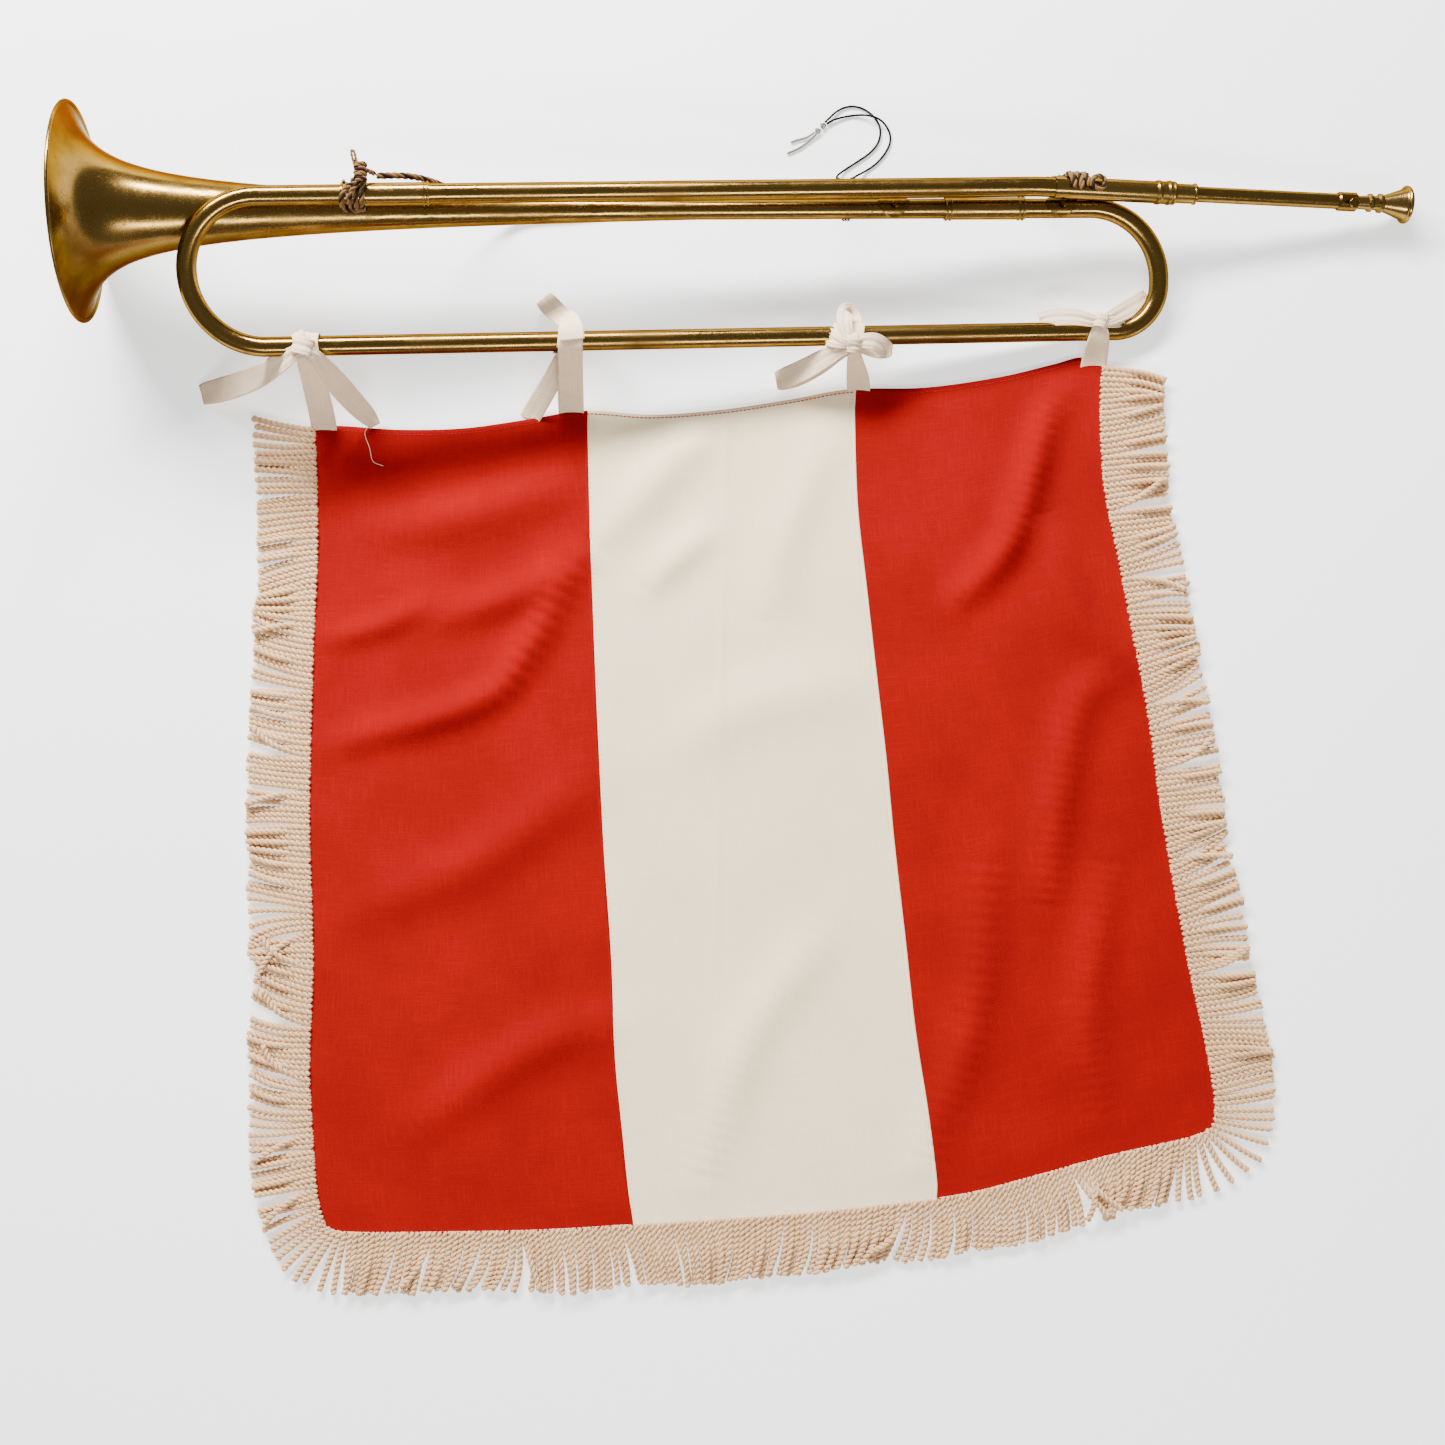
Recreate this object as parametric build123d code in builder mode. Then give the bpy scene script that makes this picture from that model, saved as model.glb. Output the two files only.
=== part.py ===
"""A long natural trumpet with a banner tied to its lower tube and a twisted carrying cord.

The instrument lies on a table, held up by three points: the bell rim, the rim of the mouthpiece
and the low corner of the right bow.  Millimetres, +Z up, +X towards the mouthpiece, origin in the
middle of the footprint at table level.
"""

import os
from math import cos, hypot, pi, radians, sin, sqrt, tan

from build123d import *

os.makedirs("parts", exist_ok=True)

# ---------------------------------------------------------------- driving dimensions: the horn
tube_radius = 6.0
tube_wall = 0.6
leadpipe_length = 465.0  # from the left bow to the slight bend before the tuning sleeve
leadpipe_bend_angle = 3.3
leadpipe_bend_radius = 250.0
leadpipe_stub = 10.0  # the straight end past the bend, where the tuning sleeve begins
loop_depth = 87.9  # between the axes of the leadpipe and the lower tube
right_bow_reach = 80.0  # outermost point of the right bow's axis, past the bend
right_bow_low_radius = 27.0
right_bow_straight = 1.5  # left between the right bow's two arcs
left_bow_flat = 0.6
left_bow_straight = 5.0  # of the left bow, before it turns
solder_gap = 0.5  # between the thickest rings on the leadpipe and on the bell tube

bell_radius = 65.0
bell_length = 549.0  # rim to the joint inside the bell sleeve
bell_flare_length = 372.0  # where the flare has run out into plain tube
bell_flare_scale = 6.0
bell_flare_power = 0.32
bell_wall = 0.6
flare_steps = 16
rim_wire_radius = 1.3
bell_clearance = 0.14  # between the left bow and the flare that it crosses
side_slope = 31.5  # degrees, how far the bell tube lies below the leadpipe's side
closest_place = 30.0  # along the leadpipe, where the bell tube and the tuning sleeve come closest
bell_lean = 0.37  # degrees, how the bell axis drifts towards the leadpipe
bell_joint = -31.0  # place of the joint between bell and right bow, along the leadpipe
bow_joint = 5.0  # place of the joint between right bow and lower tube

ferrule_wall = 0.7
bell_sleeve_length = 50.0
leadpipe_sleeve_length = 52.0
leadpipe_sleeve_start = 44.5  # past the left bow
bead_inset = 1.2
bead_spacing = 2.4

plate_radius = 10.0
plate_thickness = 0.6
plate_play = 1.0  # cut past the plate's outline
plate_places = (-88.0, 16.0)  # along the leadpipe
plate_turn = 42.0  # degrees from upright towards the leadpipe
eye_hole_radius = 1.3
eye_wire = 0.9
eye_thickness = 1.6
eye_turn = 20.0  # degrees from upright towards the leadpipe
eye_yaw = 35.0  # degrees between the hole and the bell tube
eye_sink = 0.25  # of the eye's wire, soldered into the plate

# ---------------------------------------------------------------- driving dimensions: mouth end
mouthpipe_radius = 4.75
mouthpipe_wall = 0.6
mouthpipe_show = 91.0  # between socket collar and receiver
mouthpipe_hidden = 42.0  # pushed into the socket
running_gap = 0.05
socket_length = 63.5
liner_wall = 1.2
cap_length = 12.5
cap_flange = 0.7  # of the cap's turned rings, over the tuning sleeve
cap_step = 0.2  # of the cap's waist, over the tuning sleeve
collar_length = 11.5
collar_radius = 5.9
collar_ring = 2.0
collar_ring_radius = 6.5
receiver_length = 12.5
receiver_radius = 5.8
receiver_seat = 10.0  # depth of the socket that takes the mouthpiece
shank_gap = 0.02
receiver_lip = 0.3  # over the mouthpipe's end
receiver_step = 1.0
receiver_chamfer = 0.8
screw_tip_gap = 0.1  # between the screw and the mouthpiece shank
screw_under_head = 0.2
screw_shank_radius = 1.3
screw_head_radius = 3.1
screw_head_height = 2.0
screw_head_round = 0.5
screw_boss_radius = 2.4
screw_boss_height = 2.2

rim_radius = 11.6
rim_round = 1.5
cup_depth = 9.0
cup_radius = 8.4
cup_wall = 1.2
throat_radius = 1.9
shank_radius = 4.0
shank_short = 0.3  # of the bottom of its seat
shank_show = 7.0
beads_length = 10.0
bead_height = 1.6  # of the mouthpiece's beads, over its shank
second_bead_height = 1.9
neck_height = 0.4
cup_foot_height = 1.0
cup_belly_height = 3.0
cup_length = 16.5

# ---------------------------------------------------------------- driving dimensions: the banner
cloth_thickness = 2.4
hem_height = 20.0
drop_left = 42.0  # from under the lower tube's axis to the banner's top corner
drop_right = 19.0
banner_left = -453.0  # top corners, along the table from the bend
banner_right = 49.5
banner_height_left = 508.0
banner_height_right = 494.0
edge_splay_left = 0.7
edge_splay_right = 8.0
bottom_sag = 18.0  # of the bottom edge's middle, below the line between its corners
left_panel_share = 0.344  # of the banner's width
right_panel_share = 0.32
corner_radius = 12.0
fringe_length = 38.0
fringe_thickness = 3.0

tape_width = 16.0
tape_thickness = 1.6
knot_gap = 0.3  # round the lower tube, where the knots turn
knot_thickness = 3.2
table_size = 2000.0  # of the block that trims what would reach under the table
tie_places = (-445.0, -284.0, -113.0, 40.0)  # along the lower tube, from the bend

# ---------------------------------------------------------------- driving dimensions: the cords
cord_radius = 2.0
cord_rest = 2.1  # height of the cord's axis where it lies on the table
string_radius = 0.6
string_rest = 0.7
yaw = 2.18  # degrees, how the leadpipe is turned on the table

left_knot_place = -410.0  # along the leadpipe
left_knot_width = 9.0
left_knob_radius = 5.0
left_knob_length = 9.0
left_loop_length = 11.0
wrap_place = 24.0  # along the tuning sleeve
wrap_width = 14.0
wrap_from = -7.0  # degrees round the sleeve, from its far side over the top
wrap_turn = 104.0
end_loop_ring = 3.0
end_loop_gap = 0.2
hitch_place = -117.0  # of the string, along the leadpipe
hitch_width = 6.0
string_knot_radius = 1.5


# ---------------------------------------------------------------- how the horn rests
mouth_dir = Vector(cos(radians(leadpipe_bend_angle)), -sin(radians(leadpipe_bend_angle)), 0)
socket_start = leadpipe_stub
socket_end = socket_start + socket_length
cap_end = socket_end + cap_length
collar_end = cap_end + collar_length + collar_ring
receiver_start = collar_end + mouthpipe_show
receiver_end = receiver_start + receiver_length
mouthpiece_end = receiver_end + shank_show + beads_length + cup_length

sleeve_radius = tube_radius + ferrule_wall
bead_radius = sleeve_radius + ferrule_wall
cap_radius = sleeve_radius + cap_flange
cap_waist = sleeve_radius + cap_step
left_bow_radius = (loop_depth - left_bow_flat) / 2
eye_outer = eye_hole_radius + eye_wire


def flare(distance):
    """Outer radius of the bell at a distance from its rim."""
    end = (1 + bell_flare_length / bell_flare_scale) ** -bell_flare_power
    here = (1 + distance / bell_flare_scale) ** -bell_flare_power
    share = max(0.0, (here - end) / (1 - end))
    return tube_radius + (bell_radius - tube_radius) * share


# The bell tube runs beside the leadpipe at the right and sinks under it towards the left, so that
# the left bow clears the flare.  Both gaps are measured across the tubes' axes.
side_gap = 2 * tube_radius + 2 * ferrule_wall + solder_gap
beside = Vector(0, -cos(radians(side_slope)), -sin(radians(side_slope)))
bell_right = mouth_dir * (closest_place / mouth_dir.X) + beside * side_gap


def bell_direction(drop):
    """The direction of the bell axis, towards the rim, when it sinks by an angle."""
    return Vector(-1, tan(radians(bell_lean)), -tan(drop)).normalized()


def flare_gap(drop):
    """The least gap between the left bow and the flare, when the bell tube sinks by an angle."""
    direction = bell_direction(drop)
    rim = bell_right + direction * ((bell_right.X - bell_joint) / -direction.X + bell_length)
    gaps = []
    for turn in range(0, 91, 3):
        bow_x = -leadpipe_length - left_bow_straight - left_bow_radius * sin(radians(turn))
        place = Vector(bow_x, left_bow_radius * (cos(radians(turn)) - 1), 0)
        distance = (rim - place).dot(direction)
        radial = (place - rim + direction * distance).length
        for shift in range(-8, 9):
            gaps.append(hypot(radial - flare(distance + shift), shift))
    return min(gaps) - tube_radius


least_drop, most_drop = 0.0, radians(12)
for _ in range(40):
    bell_drop = (least_drop + most_drop) / 2
    if flare_gap(bell_drop) < bell_clearance:
        least_drop = bell_drop
    else:
        most_drop = bell_drop
bell_dir = bell_direction(bell_drop)


def bell_point(place):
    """The point of the bell axis at a place along the leadpipe."""
    return bell_right + bell_dir * ((bell_right.X - place) / -bell_dir.X)


bell_joint_point = bell_point(bell_joint)
rim_centre = bell_joint_point + bell_dir * bell_length
bow_low_centre = Vector(right_bow_reach - right_bow_low_radius, right_bow_low_radius - loop_depth, 0)
rim_wire_ring = bell_radius - rim_wire_radius
mouth_rim_ring = rim_radius - rim_round
contacts = (  # centre, axis, radius of the ring and of its section
    (rim_centre, bell_dir, rim_wire_ring, rim_wire_radius),
    (mouth_dir * (mouthpiece_end - rim_round), mouth_dir, mouth_rim_ring, rim_round),
    (bow_low_centre, Vector(0, 0, 1), right_bow_low_radius, tube_radius),
)


def lowest(contact, up):
    """The lowest point of a ring with a round section, seen along up."""
    centre, axis, ring, section = contact
    outward = (up - axis * up.dot(axis)).normalized()
    return centre - outward * ring - up * section


up = Vector(0, 0.3, 1).normalized()
for _ in range(40):
    feet = [lowest(contact, up) for contact in contacts]
    up = (feet[1] - feet[0]).cross(feet[2] - feet[0]).normalized()
    up = up if up.Z > 0 else up * -1

# Directions of the table's X and Y in the horn's own axes, and the horn's axes on the table.
along = (Vector(1, 0, 0) - up * up.X).normalized()
across = up.cross(along)
table_x = along * cos(radians(yaw)) - across * sin(radians(yaw))
table_y = along * sin(radians(yaw)) + across * cos(radians(yaw))


def laid(vector):
    """A direction of the horn's own axes, as it lies on the table."""
    return Vector(vector.dot(table_x), vector.dot(table_y), vector.dot(up))


bend_height = -up.dot(feet[0])


def reach(contact, direction):
    """How far a ring reaches in a direction of the table, from the leadpipe's bend."""
    centre, axis, ring, section = contact
    axis = laid(axis)
    return laid(centre).dot(direction) + ring * sqrt(1 - axis.dot(direction) ** 2) + section


def lower_tube_at(place):
    """The point of the lower tube's axis at a place along it, on the table, from the bend."""
    return laid(Vector(place, -loop_depth, 0)) + Vector(0, 0, bend_height)


tube_slope = laid(Vector(1, 0, 0)).Y / laid(Vector(1, 0, 0)).X


def banner_corner(x, drop):
    """A top corner of the banner, below the lower tube."""
    tube = lower_tube_at(0)
    return Vector(x, tube.Y + (x - tube.X) * tube_slope - drop, 0)


def down_edge(corner, length, splay):
    """The bottom end of a side edge."""
    return corner + Vector(sin(radians(splay)), -cos(radians(splay)), 0) * length


top_left = banner_corner(banner_left, drop_left)
top_right = banner_corner(banner_right, drop_right)
bottom_left = down_edge(top_left, banner_height_left, edge_splay_left)
bottom_right = down_edge(top_right, banner_height_right, edge_splay_right)

left_end = -reach(contacts[0], Vector(-1, 0, 0))
right_end = reach(contacts[1], Vector(1, 0, 0))
far_side = reach(contacts[0], Vector(0, 1, 0))
near_side = bottom_left.Y - fringe_length
middle = Vector((left_end + right_end) / 2, (far_side + near_side) / 2, 0)

# Working planes: the table, the horn's own axes, and one along each straight line of tube.
table = Plane(origin=middle * -1, x_dir=(1, 0, 0), z_dir=(0, 0, 1))
bend_on_table = Vector(0, 0, bend_height) - middle
horn = Plane(origin=bend_on_table, x_dir=laid(Vector(1, 0, 0)), z_dir=laid(Vector(0, 0, 1)))


def on_horn(point):
    """A point of the horn's own axes, in the part's frame."""
    return horn.from_local_coords(Vector(*point))


def upright(direction):
    """The horn's up direction, squared to a line of tube."""
    return (horn.z_dir - direction * horn.z_dir.dot(direction)).normalized()


lead_line = horn
mouth_line = Plane(origin=horn.origin, x_dir=laid(mouth_dir), z_dir=horn.z_dir)
lower_line = Plane(origin=on_horn((0, -loop_depth, 0)), x_dir=horn.x_dir, z_dir=horn.z_dir)
bell_x = laid(bell_dir * -1)
bell_line = Plane(origin=on_horn(rim_centre), x_dir=bell_x, z_dir=upright(bell_x))


def axis_of(line):
    """The long axis of a line of tube."""
    return Axis(line.origin, line.x_dir)


def across_line(line, place):
    """The plane across a line of tube at a place along it."""
    return Plane(origin=line.from_local_coords(Vector(place, 0, 0)), x_dir=line.y_dir, z_dir=line.x_dir)


def pipe(section, path, outer, wall):
    """Sweeps a round tube with a wall along the path's wire, inside the part being built."""
    with BuildSketch(section) as ring:
        Circle(outer)
        Circle(outer - wall, mode=Mode.SUBTRACT)
    sweep(ring.sketch, path=path)


def turned(line, outline):
    """Turns an outline of (place, radius) points about a line of tube."""
    with BuildSketch(line) as profile:
        with BuildLine():
            Polyline(*outline, close=True)
        make_face()
    revolve(profile.sketch, axis=axis_of(line))


def beaded_sleeve(line, start, length, bore):
    """A sleeve with a pair of round beads at each end, about a line of tube."""
    outer = bore + ferrule_wall
    beads = (bead_inset, bead_inset + bead_spacing)
    places = [start + bead for bead in beads] + [start + length - bead for bead in beads]
    with BuildSketch(line) as profile:
        with Locations((start + length / 2, bore + ferrule_wall / 2)):
            Rectangle(length, ferrule_wall)
        with Locations(*[(place, outer) for place in places]):
            Circle(ferrule_wall)
    revolve(profile.sketch, axis=axis_of(line))


# ---------------------------------------------------------------- bell and its tube
flare_start = 0.3 * rim_wire_radius
flare_run = bell_flare_length - flare_start
flare_places = [flare_start + flare_run * (step / flare_steps) ** 2 for step in range(flare_steps + 1)]
flare_outer = [(place, flare(place)) for place in flare_places]
flare_inner = []
for place, radius in flare_outer:
    slope = (flare(place + 0.01) - radius) / 0.01
    steep = sqrt(1 + slope * slope)
    flare_inner.append((place - bell_wall * -slope / steep, radius - bell_wall / steep))

with BuildPart() as bell:
    with BuildSketch(bell_line):
        with BuildLine():
            outside = Spline(*flare_outer)
            Line(outside @ 1, (bell_length, tube_radius))
            Line((bell_length, tube_radius), (bell_length, tube_radius - bell_wall))
            inside = Spline(*flare_inner)
            Line((bell_length, tube_radius - bell_wall), inside @ 1)
            Line(inside @ 0, outside @ 0)
        make_face()
    revolve(axis=axis_of(bell_line))
    with BuildSketch(bell_line):
        with Locations((0, rim_wire_ring)):
            Circle(rim_wire_radius)
    revolve(axis=axis_of(bell_line), mode=Mode.SUBTRACT)
bell.part.label = "bell"
export_step(bell.part, "parts/bell.step")

# The bell's edge ends in a wire ring, which stands out on both sides of it.
with BuildPart() as bell_rim_wire:
    with BuildSketch(bell_line):
        with Locations((0, rim_wire_ring)):
            Circle(rim_wire_radius)
    revolve(axis=axis_of(bell_line))
bell_rim_wire.part.label = "bell_rim_wire"
export_step(bell_rim_wire.part, "parts/bell_rim_wire.step")

with BuildPart() as bell_sleeve:
    beaded_sleeve(bell_line, bell_length - bell_sleeve_length / 2, bell_sleeve_length, tube_radius)
bell_sleeve.part.label = "bell_sleeve"
export_step(bell_sleeve.part, "parts/bell_sleeve.step")

# ---------------------------------------------------------------- bows and lower tube
bow_top_corner = bell_point(right_bow_reach)
bow_low_corner = Vector(right_bow_reach, -loop_depth, 0)
bow_span = (bow_low_corner - bow_top_corner).length
right_bow_top_radius = bow_span - right_bow_low_radius - right_bow_straight

with BuildPart() as right_bow:
    with BuildLine() as right_bow_path:
        FilletPolyline(
            on_horn(bell_joint_point),
            on_horn(bow_top_corner),
            on_horn(bow_low_corner),
            on_horn((bow_joint, -loop_depth, 0)),
            radius=(right_bow_top_radius, right_bow_low_radius),
        )
    pipe(across_line(bell_line, bell_length), right_bow_path.wire(), tube_radius, tube_wall)
right_bow.part.label = "right_bow"
export_step(right_bow.part, "parts/right_bow.step")

with BuildPart() as lower_tube:
    with BuildSketch(across_line(lower_line, -leadpipe_length)):
        Circle(tube_radius)
        Circle(tube_radius - tube_wall, mode=Mode.SUBTRACT)
    extrude(amount=leadpipe_length + bow_joint)
lower_tube.part.label = "lower_tube"
export_step(lower_tube.part, "parts/lower_tube.step")

left_bow_reach = -leadpipe_length - left_bow_straight - left_bow_radius

with BuildPart() as left_bow:
    with BuildLine() as left_bow_path:
        FilletPolyline(
            on_horn((-leadpipe_length, 0, 0)),
            on_horn((left_bow_reach, 0, 0)),
            on_horn((left_bow_reach, -loop_depth, 0)),
            on_horn((-leadpipe_length, -loop_depth, 0)),
            radius=left_bow_radius,
        )
    pipe(across_line(lead_line, -leadpipe_length), left_bow_path.wire(), tube_radius, tube_wall)
left_bow.part.label = "left_bow"
export_step(left_bow.part, "parts/left_bow.step")

# ---------------------------------------------------------------- leadpipe and its sleeves
with BuildPart() as leadpipe:
    with BuildLine() as leadpipe_path:
        FilletPolyline(
            on_horn((-leadpipe_length, 0, 0)),
            on_horn((0, 0, 0)),
            on_horn(mouth_dir * socket_start),
            radius=leadpipe_bend_radius,
        )
    pipe(across_line(lead_line, -leadpipe_length), leadpipe_path.wire(), tube_radius, tube_wall)
leadpipe.part.label = "leadpipe"
export_step(leadpipe.part, "parts/leadpipe.step")

with BuildPart() as leadpipe_sleeve:
    sleeve_place = leadpipe_sleeve_start - leadpipe_length
    beaded_sleeve(lead_line, sleeve_place, leadpipe_sleeve_length, tube_radius)
leadpipe_sleeve.part.label = "leadpipe_sleeve"
export_step(leadpipe_sleeve.part, "parts/leadpipe_sleeve.step")

# The socket is a thick liner in a plain outer sleeve, closed by a turned cap and a collar.
socket_bore = mouthpipe_radius + running_gap

with BuildPart() as socket_liner:
    with BuildSketch(across_line(mouth_line, socket_start)):
        Circle(tube_radius)
        Circle(socket_bore, mode=Mode.SUBTRACT)
    extrude(amount=socket_length)
socket_liner.part.label = "socket_liner"
export_step(socket_liner.part, "parts/socket_liner.step")

with BuildPart() as tuning_sleeve:
    with BuildSketch(across_line(mouth_line, socket_start)):
        Circle(sleeve_radius)
        Circle(tube_radius, mode=Mode.SUBTRACT)
    extrude(amount=socket_length)
tuning_sleeve.part.label = "tuning_sleeve"
export_step(tuning_sleeve.part, "parts/tuning_sleeve.step")

with BuildPart() as socket_cap:
    turned(
        mouth_line,
        [
            (socket_end, socket_bore),
            (socket_end, cap_waist),
            (socket_end + 0.1 * cap_length, cap_radius),
            (socket_end + 0.2 * cap_length, cap_radius),
            (socket_end + 0.3 * cap_length, cap_waist),
            (socket_end + 0.55 * cap_length, cap_waist),
            (socket_end + 0.65 * cap_length, cap_radius),
            (socket_end + 0.75 * cap_length, cap_radius),
            (socket_end + 0.82 * cap_length, cap_waist),
            (socket_end + 0.9 * cap_length, cap_radius - 0.2),
            (cap_end, cap_waist),
            (cap_end, socket_bore),
        ],
    )
socket_cap.part.label = "socket_cap"
export_step(socket_cap.part, "parts/socket_cap.step")

with BuildPart() as socket_collar:
    ring_start = collar_end - collar_ring
    turned(
        mouth_line,
        [
            (cap_end, socket_bore),
            (cap_end, collar_radius),
            (ring_start, collar_radius),
            (ring_start + 0.3 * collar_ring, collar_ring_radius),
            (ring_start + 0.8 * collar_ring, collar_ring_radius),
            (collar_end, collar_radius),
            (collar_end, socket_bore),
        ],
    )
socket_collar.part.label = "socket_collar"
export_step(socket_collar.part, "parts/socket_collar.step")

# ---------------------------------------------------------------- saddle plates with cord eyes
def around_bell_tube(place, turn):
    """A plane on the bell tube's axis whose Z points away from the axis, turned from upright."""
    beside = horn.y_dir * sin(radians(turn)) + horn.z_dir * cos(radians(turn))
    origin = on_horn(bell_point(place))
    outward = beside - bell_line.x_dir * beside.dot(bell_line.x_dir)
    return Plane(origin=origin, x_dir=bell_line.x_dir, z_dir=outward.normalized())


def eye_side(place):
    """The plane of a cord eye, with Y away from the bell tube and Z along the eye's hole."""
    seat = around_bell_tube(place, eye_turn)
    hole = seat.x_dir * cos(radians(eye_yaw)) + seat.y_dir * sin(radians(eye_yaw))
    return Plane(origin=seat.origin, x_dir=seat.z_dir.cross(hole), z_dir=hole)


plate_outer = tube_radius + plate_thickness
eye_height = plate_outer + eye_outer - eye_sink

for name, place in zip(("left", "right"), plate_places):
    plate_plane = around_bell_tube(place, plate_turn)
    plate_end = Plane(origin=plate_plane.origin, x_dir=plate_plane.z_dir, z_dir=plate_plane.x_dir)
    with BuildPart() as brace_plate:
        with BuildSketch(plate_end.offset(-plate_radius - plate_play)):
            Circle(plate_outer)
            Circle(tube_radius, mode=Mode.SUBTRACT)
        extrude(amount=2 * (plate_radius + plate_play))
        with BuildSketch(plate_plane):
            Ellipse(plate_radius, plate_outer)
        extrude(amount=plate_outer + plate_play, mode=Mode.INTERSECT)
    brace_plate.part.label = "brace_plate_" + name
    export_step(brace_plate.part, "parts/brace_plate_" + name + ".step")

    with BuildPart() as cord_eye:
        with BuildSketch(eye_side(place).offset(-eye_thickness / 2)):
            with Locations((0, eye_height)):
                Circle(eye_outer)
                Circle(eye_hole_radius, mode=Mode.SUBTRACT)
        extrude(amount=eye_thickness)
        add(brace_plate.part, mode=Mode.SUBTRACT)
        add(bell.part, mode=Mode.SUBTRACT)
        add(right_bow.part, mode=Mode.SUBTRACT)
    cord_eye.part.label = "cord_eye_" + name
    export_step(cord_eye.part, "parts/cord_eye_" + name + ".step")

# ---------------------------------------------------------------- mouthpipe, receiver, screw
with BuildPart() as mouthpipe:
    with BuildSketch(across_line(mouth_line, collar_end - mouthpipe_hidden)):
        Circle(mouthpipe_radius)
        Circle(mouthpipe_radius - mouthpipe_wall, mode=Mode.SUBTRACT)
    extrude(amount=mouthpipe_hidden + mouthpipe_show)
mouthpipe.part.label = "mouthpipe"
export_step(mouthpipe.part, "parts/mouthpipe.step")

seat_start = receiver_end - receiver_seat
screw_place = receiver_end - receiver_seat / 2
screw_plane = Plane(
    origin=mouth_line.from_local_coords(Vector(screw_place, 0, 0)),
    x_dir=mouth_line.x_dir,
    z_dir=mouth_line.z_dir,
)
boss_top = receiver_radius + screw_boss_height
receiver_bore = mouthpipe_radius - mouthpipe_wall - receiver_step

with BuildPart() as mouthpiece_receiver:
    turned(
        mouth_line,
        [
            (receiver_start, mouthpipe_radius - mouthpipe_wall),
            (receiver_start, mouthpipe_radius + receiver_lip),
            (receiver_start + receiver_step, receiver_radius),
            (receiver_end - receiver_chamfer, receiver_radius),
            (receiver_end, receiver_radius - receiver_chamfer),
            (receiver_end, shank_radius + shank_gap),
            (seat_start, shank_radius + shank_gap),
            (seat_start, receiver_bore),
            (receiver_start + receiver_step, receiver_bore),
        ],
    )
    boss_foot = (shank_radius + receiver_radius) / 2
    with BuildSketch(screw_plane.offset(boss_foot)):
        Circle(screw_boss_radius)
    extrude(amount=boss_top - boss_foot)
    with BuildSketch(screw_plane.offset(shank_radius - receiver_step)):
        Circle(screw_shank_radius + running_gap)
    extrude(amount=boss_top - shank_radius + 2 * receiver_step, mode=Mode.SUBTRACT)
mouthpiece_receiver.part.label = "mouthpiece_receiver"
export_step(mouthpiece_receiver.part, "parts/mouthpiece_receiver.step")

with BuildPart() as clamp_screw:
    with BuildSketch(screw_plane.offset(shank_radius + screw_tip_gap)):
        Circle(screw_shank_radius)
    extrude(amount=boss_top + screw_under_head - shank_radius - screw_tip_gap)
    with BuildSketch(screw_plane.offset(boss_top + screw_under_head)):
        Circle(screw_head_radius)
    extrude(amount=screw_head_height)
    rising = Axis(screw_plane.origin, screw_plane.z_dir)
    fillet(clamp_screw.edges().sort_by(rising)[-1], radius=screw_head_round)
clamp_screw.part.label = "clamp_screw"
export_step(clamp_screw.part, "parts/clamp_screw.step")

# ---------------------------------------------------------------- mouthpiece
bead_start = receiver_end + shank_show
cup_start = bead_start + beads_length
cup_mouth = mouthpiece_end - rim_round
shank_start = seat_start + shank_short

with BuildPart() as mouthpiece:
    with BuildSketch(mouth_line):
        with BuildLine():
            outer_line = Polyline(
                (shank_start, throat_radius),
                (shank_start, shank_radius),
                (receiver_end, shank_radius),
                (bead_start, shank_radius + neck_height),
                (bead_start + 0.10 * beads_length, shank_radius + bead_height),
                (bead_start + 0.25 * beads_length, shank_radius + bead_height),
                (bead_start + 0.35 * beads_length, shank_radius + neck_height),
                (bead_start + 0.65 * beads_length, shank_radius + neck_height),
                (bead_start + 0.75 * beads_length, shank_radius + second_bead_height),
                (bead_start + 0.92 * beads_length, shank_radius + second_bead_height),
                (cup_start, shank_radius + cup_foot_height),
            )
            cup_side = Spline(
                (cup_start, shank_radius + cup_foot_height),
                (cup_start + 0.35 * cup_length, shank_radius + cup_belly_height),
                (cup_mouth - 1.5 * rim_round, cup_radius + cup_wall),
            )
            Line(cup_side @ 1, (cup_mouth - rim_round, rim_radius - rim_round))
            ThreePointArc(
                (cup_mouth - rim_round, rim_radius - rim_round),
                (cup_mouth, rim_radius),
                (cup_mouth + rim_round, rim_radius - rim_round),
            )
            Line((cup_mouth + rim_round, rim_radius - rim_round), (cup_mouth + 0.3 * rim_round, cup_radius))
            bowl = ThreePointArc(
                (cup_mouth + 0.3 * rim_round, cup_radius),
                (cup_mouth - 0.62 * cup_depth, 0.68 * cup_radius),
                (cup_mouth - cup_depth, throat_radius),
            )
            Line(bowl @ 1, (shank_start, throat_radius))
        make_face()
    revolve(axis=axis_of(mouth_line))
mouthpiece.part.label = "mouthpiece"
export_step(mouthpiece.part, "parts/mouthpiece.step")

# ---------------------------------------------------------------- banner
def cloth(across_share, down_share):
    """A point of the cloth lying on the table, by its shares of the banner's width and height."""
    top = top_left + (top_right - top_left) * across_share
    bottom = bottom_left + (bottom_right - bottom_left) * across_share
    sag = Vector(0, -bottom_sag * 4 * across_share * (1 - across_share), 0)
    return top + (bottom + sag - top) * down_share


hem_share = hem_height / banner_height_left
seams = (0.0, left_panel_share, 1 - right_panel_share, 1.0)
panels = dict(zip(("left_panel", "centre_panel", "right_panel"), zip(seams, seams[1:])))

for name, (first, last) in panels.items():
    with BuildPart() as panel:
        with BuildSketch(table):
            with BuildLine():
                Polyline(
                    cloth(first, hem_share),
                    cloth(last, hem_share),
                    cloth(last, 1),
                    cloth(first, 1),
                    close=True,
                )
            make_face()
        extrude(amount=cloth_thickness)
    panel.part.label = name
    export_step(panel.part, "parts/" + name + ".step")

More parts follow.
